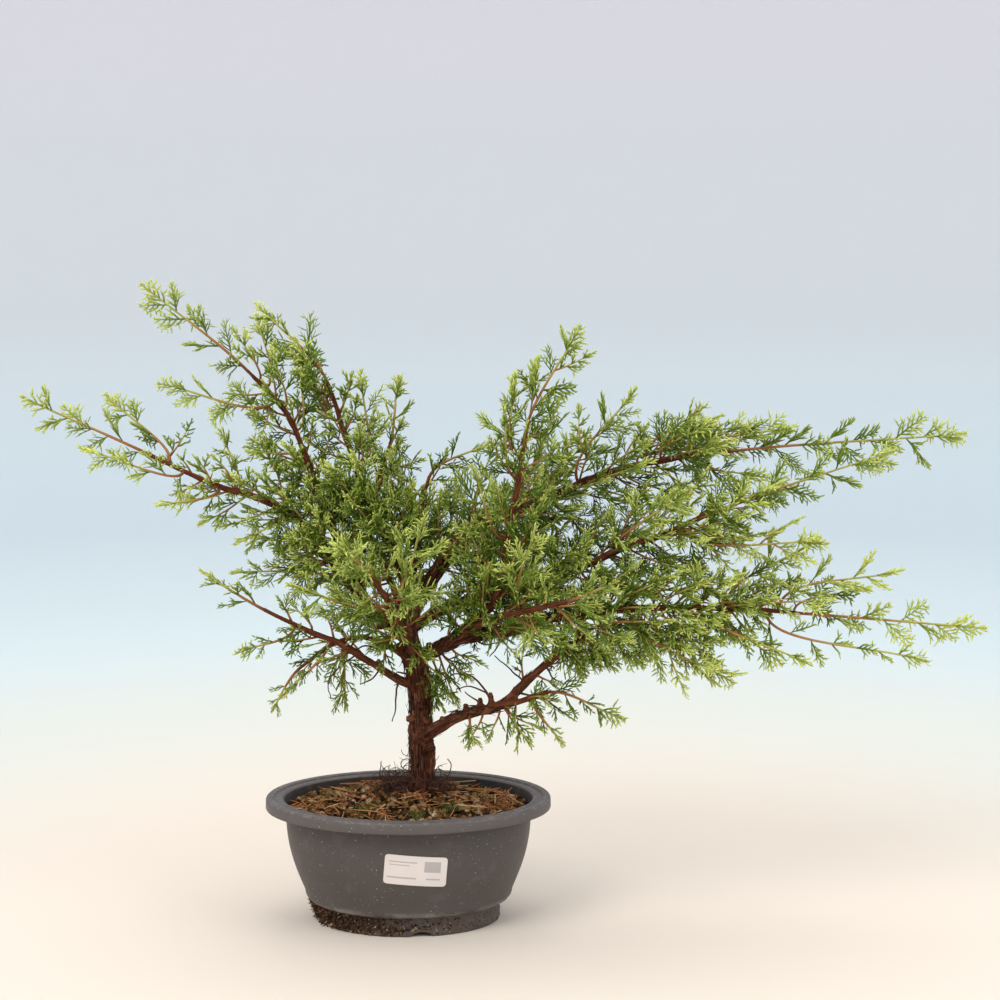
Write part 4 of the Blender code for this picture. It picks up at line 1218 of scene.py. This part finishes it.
# %% Dead twigs and hair roots
# Rows of points in tree steps, with the radius at the start and the end.
DEAD_TWIGS = [
    ([(62, -22, 72), (64, -24, 78), (56, -22, 91), (43, -18, 97), (30, -16, 93)], 0.9, 0.5),
    ([(65, -23, 77), (61, -24, 83), (50, -22, 87), (38, -20, 85)], 0.8, 0.4),
    ([(58, -21, 72), (50, -24, 80), (45, -25, 84)], 0.8, 0.4),
    ([(92, -29, 91), (80, -22, 101), (68, -18, 111)], 0.8, 0.4),
    ([(-6, -8, 92), (-9, -12, 80), (-9, -13, 70), (-12, -14, 58)], 0.9, 0.4),
    ([(52, -10, 124), (60, -18, 120), (73, -22, 122)], 0.8, 0.5),
    ([(72, -14, 126), (71, -20, 119), (64, -22, 111)], 0.8, 0.4),
    ([(24, -6, 112), (34, -14, 106), (40, -20, 98)], 0.7, 0.4),
    ([(-20, -14, 102), (-26, -22, 94), (-36, -26, 90)], 0.9, 0.4),
    ([(-40, -24, 112), (-52, -30, 104), (-60, -32, 92), (-58, -34, 80)], 0.8, 0.4),
    ([(-4, 2, 118), (-18, 6, 112), (-34, 8, 114), (-46, 6, 108)], 1.1, 0.5),
    ([(30, 6, 146), (40, 16, 140), (54, 22, 142)], 1.0, 0.5),
    ([(90, -14, 134), (98, -20, 126), (110, -22, 122)], 0.9, 0.4),
    ([(108, -30, 104), (114, -34, 96), (124, -36, 92)], 0.8, 0.4),
    ([(4, -4, 100), (0, -12, 96), (-8, -18, 98)], 1.1, 0.6),
    ([(14, 10, 152), (22, 22, 150), (24, 36, 156)], 1.0, 0.5),
    ([(-8, 26, 144), (-18, 34, 136), (-30, 40, 134)], 0.9, 0.4),
]
HOOKED_ROOT = [(17, -4, 3), (24, -6, 5), (31, -7, 12), (34, -8, 22), (31, -8, 27)]
HAIR_ROOTS = 430
rng = random.Random(23)
parts = []
for rows, first, last in DEAD_TWIGS:
    path = smooth_path([tree_point(row) for row in rows], 3 * MM)
    for i in range(1, len(path) - 1):
        path[i] += np.array(noise.noise_vector(Vector(path[i]) * 150)) * 1.0 * MM
    parts.append((*tube(path, np.linspace(first, last, len(path)) * MM, 6, green=rng.random()), 0))
for _ in range(HAIR_ROOTS):
    if rng.random() < 0.35:
        # A root that leaves the trunk itself, mostly on its left.
        turn = rng.gauss(math.pi if rng.random() < 0.6 else 0, 0.85)
        out = np.array([math.cos(turn), math.sin(turn), 0])
        point = TREE_ORIGIN + np.array([9, 0, abs(rng.gauss(0, 9)) + 0.5]) * MM + out * 7 * MM
        heading = unit(out * rng.uniform(0.5, 1.3) + np.array([0, 0, rng.uniform(-0.9, 0.5)]))
    else:
        # A root in the tangle that lies beside the trunk.
        side = rng.gauss(-11, 7) if rng.random() < 0.72 else rng.gauss(25, 5)
        point = TREE_ORIGIN + np.array([side, rng.gauss(-4, 6), 0]) * MM
        point[2] = ground(point[0], point[1]) + (1 + abs(rng.gauss(0, 5.5))) * MM
        heading = unit(np.array([rng.gauss(0, 1), rng.gauss(0, 1), rng.gauss(0.1, 0.7)]))
    spin = unit(np.array([rng.gauss(0, 1) for _ in range(3)])) * rng.uniform(0.1, 0.7)
    path, stride = [point], rng.uniform(1.2, 2.4) * MM
    for step in range(rng.randint(5, 10)):
        path.append(path[-1] + heading * stride)
        heading = unit(heading + np.cross(spin, heading) + np.array([0, 0, -0.06]))
        floor_z = ground(path[-1][0], path[-1][1]) + 1.5 * MM
        if path[-1][2] < floor_z:
            path[-1][2] = floor_z
            heading[2] = abs(heading[2]) * 0.3
    thick = rng.uniform(0.25, 0.55) * MM
    parts.append((*tube(path, np.linspace(thick, thick * 0.5, len(path)), 4, green=rng.random()), 0))
hook = smooth_path([tree_point(row) for row in HOOKED_ROOT], 2 * MM)
parts.append((*tube(hook, np.linspace(0.7, 0.4, len(hook)) * MM, 6), 0))
twig_bark, tree, shader = new_material("dead_twig", 0.85, 0.2)
body = mix(tree, noise_of(tree, 300, 4), (0.020, 0.008, 0.006, 1), (0.13, 0.060, 0.038, 1))
paint(tree, shader, body)
bump(tree, shader, noise_of(tree, 1200, 3), 0.5, 0.3 * MM)
wear(build("dead_twigs_and_roots", parts, [twig_bark]), "bark")

# %% [markdown]
# Juniper shoots are cords of tiny overlapping scale leaves. Short cords stand alternately on longer
# ones in flat, fern-like fans, and fans stand all round each shoot. So one cord is modelled, cords make
# a few fans, and fans are laid along every shoot of the imported model. Old foliage inside is dark, and
# young tips are yellow-green, which a colour attribute carries to the finish. The same attribute also
# paints shade on the shoots inside the crown and light on the outer shoots and on those in front.

# %% Cord and fan templates
CORD = rod([(0.0, 0.8), (0.5, 1.0), (1.0, 0.35)])


def add_cord(parts, start, angle, tilt, length, radius, bend, young):
    """One cord of a flat fan, in the fan's own plane XY; it grows younger up to its tip."""
    heading = np.array([math.cos(angle) * math.cos(tilt), math.sin(angle) * math.cos(tilt), math.sin(tilt)])
    laid, faces = lay_rod(CORD, start, heading, UP, length, radius, bend)
    parts.append((laid, faces, young + 0.20 * CORD[0][:, 0]))


def fan(length, seed, thick, spacing, lean, longest, share_of_length):
    """A flat fan of cords along +X, in metres: points, faces and youth."""
    rng = random.Random(seed)
    parts = []
    bend = rng.uniform(-0.14, 0.14)
    add_cord(parts, np.zeros(3), 0, 0, length, thick, bend, 0.25)
    count = max(4, round(length / spacing))
    for i in range(count):
        share = 0.10 + 0.82 * (i + rng.uniform(-0.2, 0.2)) / (count - 1)
        side = 1 if i % 2 else -1
        reach = length * (share_of_length * (1 - share) ** 0.75 + 0.11) * rng.uniform(0.75, 1.2)
        reach = min(reach, longest)
        angle = side * math.radians(rng.uniform(*lean))
        tilt = math.radians(rng.gauss(4, 13))
        start = np.array([share * length, bend * length * share**2, 0])
        young = 0.25 + 0.30 * share
        add_cord(parts, start, angle, tilt, reach, thick, -side * rng.uniform(0.05, 0.25), young)
        if reach < 5.0 * MM:
            continue
        heading = np.array([math.cos(angle), math.sin(angle), math.sin(tilt)])
        spots = (0.34, 0.64) if reach > 8 * MM else (0.5,)
        for k, spot in enumerate(spots):
            turn = angle + (1 if k % 2 else -1) * side * math.radians(rng.uniform(26, 42))
            place = start + heading * reach * spot
            extra = reach * rng.uniform(0.40, 0.60)
            lift = tilt + rng.gauss(0, 0.2)
            add_cord(parts, place, turn, lift, extra, thick * 0.95, 0.0, young + 0.18)
    points = np.concatenate([part[0] for part in parts])
    faces = np.concatenate([part[1] + index * len(CORD[0]) for index, part in enumerate(parts)])
    return points, faces, np.concatenate([part[2] for part in parts])


# Tip fans are short and thick; the old fans inside are long, thin and feathery.
FAN_LENGTHS = (11, 15, 19, 24, 30)
PLUME_LENGTHS = (17, 24, 32)
TIP_FANS = [
    [fan(size * MM, 40 + size * 7 + k, 0.74 * MM, 2.5 * MM, (32, 50), 13 * MM, 0.47) for k in range(5)]
    for size in FAN_LENGTHS
]
PLUMES = [
    [fan(size * MM, 900 + size * 7 + k, 0.56 * MM, 2.3 * MM, (26, 40), 15 * MM, 0.44) for k in range(5)]
    for size in PLUME_LENGTHS
]
for kind_of, made in (("tip", TIP_FANS), ("plume", PLUMES)):
    print(kind_of, "fans hold cords", [len(row[0][0]) // len(CORD[0]) for row in made])


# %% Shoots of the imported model
# Each row is a shoot's name, its limb, the share along it, and its tip in tree steps.
SHOOTS = [
    ("far_left_end", "far_left", 1.0, (-292, -32, 313)),
    ("far_left_top", "far_left", 0.93, (-236, 12, 312)),
    ("far_left_under", "far_left", 0.88, (-245, -52, 276)),
    ("left_high", "far_left", 0.70, (-150, 42, 282)),
    ("left_outer", "far_left", 0.76, (-186, -58, 232)),
    ("left_middle", "far_left", 0.55, (-128, -52, 202)),
    ("left_inner", "far_left", 0.34, (-142, 34, 168)),
    ("upper_left_end", "upper_left", 1.0, (-206, 10, 398)),
    ("upper_left_side", "upper_left", 0.84, (-188, -30, 323)),
    ("upper_left_under", "upper_left", 0.62, (-122, -22, 270)),
    ("upper_left_back", "upper_left", 0.50, (-112, 70, 250)),
    ("crown_left_end", "second_upper_left", 1.0, (-119, 20, 383)),
    ("crown_left_side", "second_upper_left", 0.84, (-95, 52, 348)),
    ("crown_left_right", "second_upper_left", 0.66, (-38, 42, 330)),
    ("crown_left_front", "second_upper_left", 0.50, (-66, -28, 262)),
    ("crown_left_low", "second_upper_left", 0.36, (8, -30, 246)),
    ("pale_back_end", "pale_back", 1.0, (-12, 114, 322)),
    ("pale_centre_end", "pale_centre", 1.0, (64, 60, 270)),
    ("lower_left_end", "lower_left", 1.0, (-154, -62, 184)),
    ("lower_left_under", "lower_left", 0.80, (-124, -88, 126)),
    ("lower_left_hanging", "lower_left", 0.58, (-96, -56, 84)),
    ("small_left_end", "small_left", 1.0, (-104, -36, 70)),
    ("small_left_hanging", "small_left", 0.62, (-50, 8, 62)),
    ("back_left_end", "back_left", 1.0, (-60, 150, 226)),
    ("back_left_side", "back_left", 0.62, (-104, 116, 186)),
    ("back_right_end", "back_right", 1.0, (122, 146, 238)),
    ("back_right_side", "back_right", 0.62, (34, 140, 232)),
    ("front_left_end", "front_left", 1.0, (-46, -136, 214)),
    ("front_left_side", "front_left", 0.64, (-84, -102, 180)),
    ("front_left_top", "front_left", 0.76, (18, -112, 232)),
    ("front_right_end", "front_right", 1.0, (158, -128, 186)),
    ("front_right_top", "front_right", 0.60, (98, -104, 222)),
    ("upright_end", "upright", 1.0, (134, -30, 367)),
    ("upright_left", "upright", 0.82, (75, -56, 309)),
    ("upright_right", "upright", 0.78, (120, 4, 312)),
    ("upright_low_left", "upright", 0.58, (52, -66, 264)),
    ("upper_right_low", "upper_right", 0.46, (138, 62, 280)),
    ("upper_right_top", "upper_right", 0.60, (181, 46, 315)),
    ("upper_right_middle", "upper_right", 0.78, (237, 44, 302)),
    ("upper_right_outer", "upper_right", 0.93, (310, 56, 284)),
    ("upper_right_end", "upper_right", 1.0, (442, 36, 279)),
    ("second_right_end", "second_right", 1.0, (377, -10, 270)),
    ("second_right_under", "second_right", 0.92, (320, -56, 204)),
    ("second_right_front", "second_right", 0.70, (218, -50, 246)),
    ("second_right_back", "second_right", 0.60, (196, 70, 200)),
    ("middle_right_end", "middle_right", 1.0, (442, -50, 138)),
    ("middle_right_outer_top", "middle_right", 0.95, (380, -44, 182)),
    ("middle_right_outer_under", "middle_right", 0.92, (394, -76, 117)),
    ("middle_right_top", "middle_right", 0.82, (319, -16, 202)),
    ("middle_right_under", "middle_right", 0.78, (304, -90, 117)),
    ("middle_right_inner", "middle_right", 0.58, (250, -64, 98)),
    ("middle_right_back", "middle_right", 0.50, (214, 18, 112)),
    ("lower_right_end", "lower_right", 1.0, (206, -64, 146)),
    ("lower_right_fork_end", "lower_right_fork", 1.0, (168, -52, 67)),
    ("lower_right_under", "lower_right_fork", 0.72, (122, -56, 48)),
    ("lower_right_inner", "lower_right", 0.30, (53, -62, 50)),
]


def point_along(path, share):
    """Middle, heading and radius at a share of a limb's length."""
    run = run_along(path)
    at = share * run[-1]
    row = np.array([np.interp(at, run, path[:, k]) for k in range(4)])
    ahead = np.array([np.interp(min(at + 2 * MM, run[-1]), run, path[:, k]) for k in range(3)])
    behind = np.array([np.interp(at - 4 * MM, run, path[:, k]) for k in range(3)])
    return row[:3], unit(ahead - behind), row[3]


def shoot_path(limb, share, tip):
    """A smooth path from inside the limb to the shoot's tip."""
    middle, along, radius = point_along(LIMB_PATHS[limb], share)
    tip = tree_point(tip)
    if share >= 1.0:
        leave = along
        base = middle - along * 2 * MM
    else:
        leave = tip - middle
        leave = unit(leave - along * (leave @ along))
        base = middle + leave * radius * 0.6
    reach = np.linalg.norm(tip - base)
    corners = (base, base + leave * reach * 0.28, tip + (base - tip) * 0.35, tip)
    t = np.linspace(0, 1, max(8, round(reach / (4 * MM))))[:, None]
    weights = ((1 - t) ** 3, 3 * t * (1 - t) ** 2, 3 * t**2 * (1 - t), t**3)
    return sum(corner * weight for corner, weight in zip(corners, weights))


# %% Foliage finishes
leaf, tree, shader = new_material("scale_leaves", 0.6, 0.16)
# young holds the shoots' own age, with painted light on the outer and front shoots and painted shade inside
# the crown.
young, tone = tint_node(tree)[:2]
scales = noise_of(tree, 1100, 2)
body = mix(tree, ramp(tree, young, 0.0, 0.5), (0.012, 0.026, 0.003, 1), (0.175, 0.250, 0.024, 1))
body = mix(tree, ramp(tree, young, 0.45, 1.0), body, (0.74, 0.80, 0.20, 1))
body = mix(tree, times(tree, tone, 0.30), body, (0.100, 0.190, 0.022, 1))
shade = times(tree, ramp(tree, scales, 0.55, 0.35), 0.45)
body = mix(tree, shade, body, (0.030, 0.055, 0.006, 1))
paint(tree, shader, body)
bump(tree, shader, scales, 0.6, 0.3 * MM)

green_twig, tree, shader = new_material("green_twig", 0.6, 0.2)
along_share, tone = tint_node(tree)[:2]
body = mix(tree, ramp(tree, along_share, 0.05, 0.40), (0.145, 0.038, 0.015, 1), (0.42, 0.175, 0.058, 1))
body = mix(tree, ramp(tree, along_share, 0.40, 0.80), body, (0.46, 0.44, 0.10, 1))
body = mix(tree, times(tree, noise_of(tree, 700, 3), 0.35), body, (0.10, 0.035, 0.018, 1))
paint(tree, shader, body)
bump(tree, shader, noise_of(tree, 1200, 2), 0.4, 0.3 * MM)

# %% Fans along a shoot
CROWN = TREE_ORIGIN + np.array([50, 0, 150]) * MM
GOLDEN = math.radians(137.5)


def lay_fan(parts, rng, base, heading, length, young, tone, facing=None, plume=False):
    """The nearest fan to a length, from a base along a heading; it mostly faces up and forward."""
    sizes, fans = (PLUME_LENGTHS, PLUMES) if plume else (FAN_LENGTHS, TIP_FANS)
    level = min(range(len(sizes)), key=lambda i: abs(sizes[i] * MM - length))
    points, faces, youth = fans[level][rng.randrange(5)]
    scale = float(np.clip(length / (sizes[level] * MM), 0.8, 1.25))
    heading = unit(heading)
    if facing is None:
        facing = np.array([rng.gauss(0, 0.75), rng.gauss(-0.35, 0.6), rng.gauss(0.5, 0.6)])
    side = unit(np.cross(facing, heading))
    up = np.cross(heading, side)
    laid = base + (points * scale) @ np.stack([heading, side, up])
    parts.append((laid, faces, tint_of(len(laid), np.clip(youth - 0.42 + young, 0, 1), tone), 0))


def dress(rng, path, droop, full=1.0, thick=1.25):
    """Fans and short side shoots along a path, and the twig under them."""
    parts = []
    heading = unit(np.gradient(path, axis=0))
    run = run_along(path)
    total = run[-1]
    # Shoots far from the crown's middle are painted younger and lighter: partly their own young growth,
    # partly painted light outside and painted shade inside.
    outer = float(np.clip(np.linalg.norm(path[-1] - CROWN) / 0.33, 0.2, 1))
    turn = rng.uniform(0, 6)
    # Painted light: shoots whose tips stand in front of the axis are painted fresher and lighter. The random
    # part is their own age.
    random_age_and_front_light = rng.uniform(-0.12, 0.20) + max(0.0, AXIS_Y - float(path[-1][1])) * 1.2
    at = max(5 * MM, total * 0.06)
    end_fan = min(28 * MM, total * 0.4)
    while at < total - end_fan * 0.75:
        share = at / total
        i = min(int(np.searchsorted(run, at)), len(path) - 1)
        along = heading[i]
        out = perpendicular(along, turn)
        lean = math.radians(rng.uniform(32, 54))
        way = along * math.cos(lean) + out * math.sin(lean) + np.array([0, 0, -droop])
        size = (0.34 * total + 10 * MM) * (1.05 - 0.72 * share) * rng.uniform(0.75, 1.15) * full
        size = float(np.clip(size, 12 * MM, (50 - 20 * outer) * MM))
        # Youth holds real age along the shoot, with painted light on outer and front shoots and painted
        # shade inside the crown.
        young = 0.10 + 0.30 * outer + 0.34 * share + random_age_and_front_light + rng.uniform(-0.10, 0.10)
        tone = rng.random()
        plume = outer * 0.6 + share * 0.5 < rng.uniform(0.45, 0.85)
        if size > 30 * MM and not plume:
            # A side shoot of its own, which carries small fans on both sides.
            side_path = [path[i]]
            bow = way.copy()
            for _ in range(6):
                bow = unit(bow + along * 0.10 + np.array([0, 0, -droop * 0.25]))
                side_path.append(side_path[-1] + bow * size / 6)
            side_path = np.array(side_path)
            radii = np.linspace(0.85, 0.5, len(side_path)) * MM
            parts.append((*tube(side_path, radii, 5, (share * 0.7, 0.95), tone), 1))
            facing = np.array([rng.gauss(0, 0.6), rng.gauss(-0.45, 0.5), rng.gauss(0.5, 0.5)])
            for k in range(1, 6):
                hand = 1 if k % 2 else -1
                across = unit(np.cross(facing, bow)) * hand
                small = size * (0.52 - 0.055 * k) * rng.uniform(0.85, 1.2)
                fan_way = bow * 0.75 + across * 0.65 + np.array([0, 0, -droop * 0.4])
                lay_fan(parts, rng, side_path[k], fan_way, small, young + 0.03 * k, tone, facing)
            lay_fan(parts, rng, side_path[-2], bow, size * 0.42, young + 0.14, tone, facing)
        else:
            lay_fan(parts, rng, path[i], way, min(size, 36 * MM), young, tone, plume=plume)
        turn += GOLDEN + rng.uniform(-0.4, 0.4)
        at += (4.0 + 3.2 * outer**2) * MM / full + 0.12 * size
    tail = path[min(int(np.searchsorted(run, total - end_fan)), len(path) - 1)]
    last = float(np.linalg.norm(path[-1] - tail))
    # The tip fan is painted younger further out, partly as painted light.
    lay_fan(parts, rng, tail, path[-1] - tail, last, 0.42 + 0.3 * outer, 0.2, plume=outer < 0.45)
    radii = np.linspace(thick, 0.5 * thick, len(path)) * MM
    parts.append((*tube(path, radii, 6, (0.15 * outer, 1.0), rng.random()), 1))
    return parts


# %% Foliage of every shoot
# Words in the names of the shoots that droop more, and how full the thinner shoots are.
HANGING = ("hanging", "inner", "_low", "lower_right")
THIN = {
    "lower_left_hanging": 0.55, "small_left_end": 0.55, "lower_left_under": 0.62, "far_left_under": 0.75,
    "left_outer": 0.62, "middle_right_under": 0.50, "middle_right_outer_under": 0.50,
    "middle_right_end": 0.72, "lower_left_end": 0.85, "far_left_end": 0.85, "left_middle": 0.80,
    "left_inner": 0.80, "left_high": 0.85, "upper_left_side": 0.80, "far_left_top": 0.80,
    "crown_left_side": 0.85, "lower_right_fork_end": 0.72, "lower_right_under": 0.60,
    "lower_right_inner": 0.80, "middle_right_outer_top": 0.9,
}
leafy_faces = 0
for index, (name, limb, share, tip) in enumerate(SHOOTS):
    rng = random.Random(100 + index)
    path = shoot_path(limb, share, tip)
    droop = 0.26 if any(word in name for word in HANGING) else 0.10
    parts = dress(rng, path, droop, THIN.get(name, 1.0))
    piece = build(f"foliage_{name}", parts, [leaf, green_twig])
    leafy_faces += len(piece.data.polygons)
    wear(piece, "juniper_leaf", f"shoot_{name}")
print("foliage faces", leafy_faces)

# %% Foliage on the limbs themselves
# Side shoots stand along each limb. A row says at which share they start and end, how far apart they
# are, how long they are at the start and at the end, in millimetres, and how much they droop.
LEAFY = {
    "lower_right": (0.55, 0.98, 10, 34, 30, 0.30), "lower_right_fork": (0.25, 0.95, 11, 34, 28, 0.35),
    "middle_right": (0.16, 0.90, 6.2, 62, 26, 0.12), "upright": (0.22, 0.96, 7.5, 56, 26, 0.05),
    "upper_right": (0.20, 0.95, 6.8, 62, 28, 0.05), "second_right": (0.16, 1.0, 6.2, 64, 42, 0.10),
    "far_left": (0.20, 0.92, 8, 58, 18, 0.10), "upper_left": (0.20, 0.92, 8, 52, 26, 0.05),
    "second_upper_left": (0.22, 0.95, 7, 58, 28, 0.05), "pale_back": (0.20, 0.95, 9, 44, 24, 0.05),
    "pale_centre": (0.15, 0.95, 7.5, 50, 30, 0.05), "lower_left": (0.36, 0.92, 13, 34, 24, 0.02),
    "small_left": (0.34, 0.90, 16, 30, 22, 0.20), "back_left": (0.25, 0.95, 9, 52, 34, 0.12),
    "back_right": (0.25, 0.95, 9, 52, 34, 0.12), "front_left": (0.22, 0.95, 8, 54, 30, 0.10),
    "front_right": (0.25, 0.95, 8.5, 54, 30, 0.12),
}
# Extra shoots that fill the crown, by limb: share along the limb, tip in tree steps and droop.
FILL = {
    "upper_right": [
        (0.10, (40, -30, 164), 0.1), (0.62, (192, -12, 262), 0.0), (0.80, (240, 10, 292), 0.0),
        (0.76, (226, 56, 282), 0.0), (0.84, (250, -4, 276), 0.0), (0.72, (218, 20, 232), 0.1),
        (0.40, (136, -18, 226), 0.0), (0.86, (270, 10, 290), 0.0), (0.92, (292, 54, 278), 0.0),
        (0.82, (250, 44, 294), 0.0), (0.50, (142, -6, 236), 0.0), (0.44, (128, -2, 256), 0.0),
        (0.90, (284, 12, 246), 0.1), (0.20, (30, -30, 192), 0.0),
    ],
    "second_right": [
        (0.14, (44, -28, 166), 0.1), (0.22, (58, -24, 140), 0.3), (0.48, (142, -50, 206), 0.0),
        (0.52, (150, 40, 200), 0.0), (0.40, (132, -46, 196), 0.0), (0.74, (212, 26, 240), 0.0),
        (0.36, (124, -30, 178), 0.1), (0.92, (266, -40, 226), 0.0), (0.96, (270, 20, 206), 0.1),
        (0.58, (166, -40, 160), 0.3), (1.00, (304, 12, 240), 0.0), (0.97, (288, -34, 248), 0.0),
        (0.10, (34, -26, 152), 0.1), (0.16, (62, -34, 158), 0.0),
    ],
    "middle_right": [
        (0.05, (34, -24, 80), 0.4), (0.08, (50, -26, 94), 0.4), (0.03, (24, -26, 98), 0.4),
        (0.18, (62, -44, 150), 0.0), (0.38, (136, -52, 108), 0.4), (0.44, (158, -60, 172), 0.0),
        (0.45, (160, -54, 104), 0.4), (0.50, (182, -58, 108), 0.4), (0.52, (190, 10, 178), 0.0),
        (0.56, (208, -58, 182), 0.0), (0.60, (218, -8, 112), 0.3), (0.64, (232, -4, 188), 0.0),
        (0.66, (244, -62, 128), 0.2), (0.70, (258, -54, 180), 0.0), (0.72, (262, -4, 124), 0.2),
        (0.74, (250, 12, 162), 0.0), (0.69, (240, -64, 106), 0.3), (0.78, (284, -60, 162), 0.0),
        (0.02, (30, -20, 66), 0.4), (0.07, (40, -30, 72), 0.4), (0.86, (310, 4, 168), 0.0),
        (0.90, (324, -62, 162), 0.0), (0.80, (286, 12, 138), 0.1), (0.82, (286, -64, 112), 0.2),
        (0.40, (136, -52, 98), 0.4), (0.46, (152, -16, 98), 0.4), (0.11, (58, -34, 108), 0.4),
        (0.99, (360, -10, 164), 0.0), (0.42, (150, -60, 116), 0.2), (0.68, (246, -66, 150), 0.0),
        (0.64, (228, -70, 140), 0.0), (0.14, (56, -40, 146), 0.0),
    ],
    "lower_right": [
        (0.88, (158, -60, 120), 0.2), (0.82, (150, -16, 110), 0.3), (0.36, (48, -34, 46), 0.15),
        (0.44, (64, -40, 52), 0.15), (0.52, (84, -42, 60), 0.15), (0.92, (152, -62, 132), 0.1),
    ],
    "far_left": [
        (0.44, (-96, -24, 240), 0.0), (0.52, (-118, -22, 256), 0.0), (0.38, (-92, -34, 206), 0.1),
        (0.30, (-80, -36, 178), 0.1), (0.24, (-58, -34, 158), 0.1), (0.34, (-104, -8, 190), 0.1),
        (0.05, (-20, -26, 120), 0.2), (0.16, (-48, -30, 140), 0.1), (0.56, (-114, -18, 240), 0.0),
        (0.32, (-94, -20, 206), 0.1), (0.40, (-66, -44, 228), 0.0), (0.46, (-84, -44, 206), 0.0),
        (0.36, (-70, -46, 184), 0.0),
    ],
    "upper_left": [
        (0.30, (-92, -12, 244), 0.0), (0.36, (-106, 34, 236), 0.0), (0.80, (-104, -8, 350), 0.0),
        (0.70, (-82, 4, 332), 0.0), (0.90, (-120, 42, 374), 0.0), (0.94, (-134, -2, 366), 0.0),
        (0.28, (-78, -18, 238), 0.0), (0.34, (-50, -10, 244), 0.0), (0.44, (-86, -12, 268), 0.0),
    ],
    "second_upper_left": [
        (0.30, (-10, -22, 240), 0.0), (0.90, (-88, 12, 358), 0.0), (0.84, (-84, 34, 338), 0.0),
        (0.34, (-30, -20, 246), 0.0), (0.26, (4, 4, 236), 0.0), (0.20, (-32, -16, 208), 0.0),
        (0.42, (-60, -34, 262), 0.0), (0.36, (-44, -48, 240), 0.0), (0.30, (-24, -46, 226), 0.0),
        (0.46, (-40, -36, 270), 0.0), (0.24, (-6, -44, 216), 0.0),
    ],
    "pale_centre": [
        (0.60, (-8, 30, 248), 0.0), (0.30, (36, 8, 212), 0.0), (0.45, (18, -20, 228), 0.0),
    ],
    "lower_right_fork": [
        (0.30, (104, -44, 58), 0.15),
    ],
    "upright": [
        (0.90, (84, -40, 332), 0.0), (0.96, (102, -28, 344), 0.0), (0.10, (44, -44, 154), 0.0),
        (0.45, (44, -50, 220), 0.0), (0.16, (28, -48, 160), 0.0), (0.30, (56, -56, 194), 0.0),
        (0.36, (94, -58, 198), 0.0), (0.55, (106, -58, 240), 0.0),
    ],
    "small_left": [
        (0.28, (-18, -30, 102), 0.3),
    ],
    "front_left": [
        (0.30, (-32, -50, 142), 0.1), (0.70, (-38, -62, 198), 0.0), (0.50, (14, -66, 186), 0.0),
        (0.25, (-52, -40, 150), 0.0), (0.80, (-52, -72, 216), 0.0), (0.45, (-60, -60, 172), 0.0),
    ],
    "back_left": [
        (0.50, (-62, 72, 158), 0.1),
    ],
    "lower_left": [
        (0.70, (-88, -30, 154), 0.0), (0.50, (-58, -40, 148), 0.0),
    ],
}
for index, (name, (first, last, apart, first_size, last_size, droop)) in enumerate(LEAFY.items()):
    rng = random.Random(300 + index)
    path = LIMB_PATHS[name]
    total = run_along(path)[-1]
    parts, at, turn = [], first * total, rng.uniform(0, 6)
    while at < last * total:
        middle, along, radius = point_along(path, at / total)
        out = perpendicular(along, turn)
        share = (at / total - first) / (last - first)
        if name == "middle_right" and share < 0.30 and out[2] < -0.2:
            # Sky shows under this stretch, between the two limbs.
            turn += GOLDEN
            at += apart * MM
            continue
        stem = (first_size + (last_size - first_size) * share**2) * rng.uniform(0.7, 1.15) * MM
        way = unit(along * 0.72 + out * 0.75 + np.array([0, 0, -droop]))
        sink = np.array([0, 0, -droop * 0.25 * stem])
        points = [middle + out * radius * 0.4, middle + out * radius + way * stem * 0.5,
                  middle + out * radius + way * stem + along * stem * 0.12 + sink]
        parts += dress(rng, smooth_path(points, 4 * MM), droop, 0.95, 0.95)
        turn += GOLDEN
        at += apart * MM * rng.uniform(0.8, 1.2)
    for share, tip, droop in FILL.get(name, ()):
        parts += dress(rng, shoot_path(name, share, tip), droop, 1.0, 1.0)
    piece = build(f"foliage_on_{name}", parts, [leaf, green_twig])
    leafy_faces += len(piece.data.polygons)
    wear(piece, "juniper_leaf")
print("all foliage faces", leafy_faces)
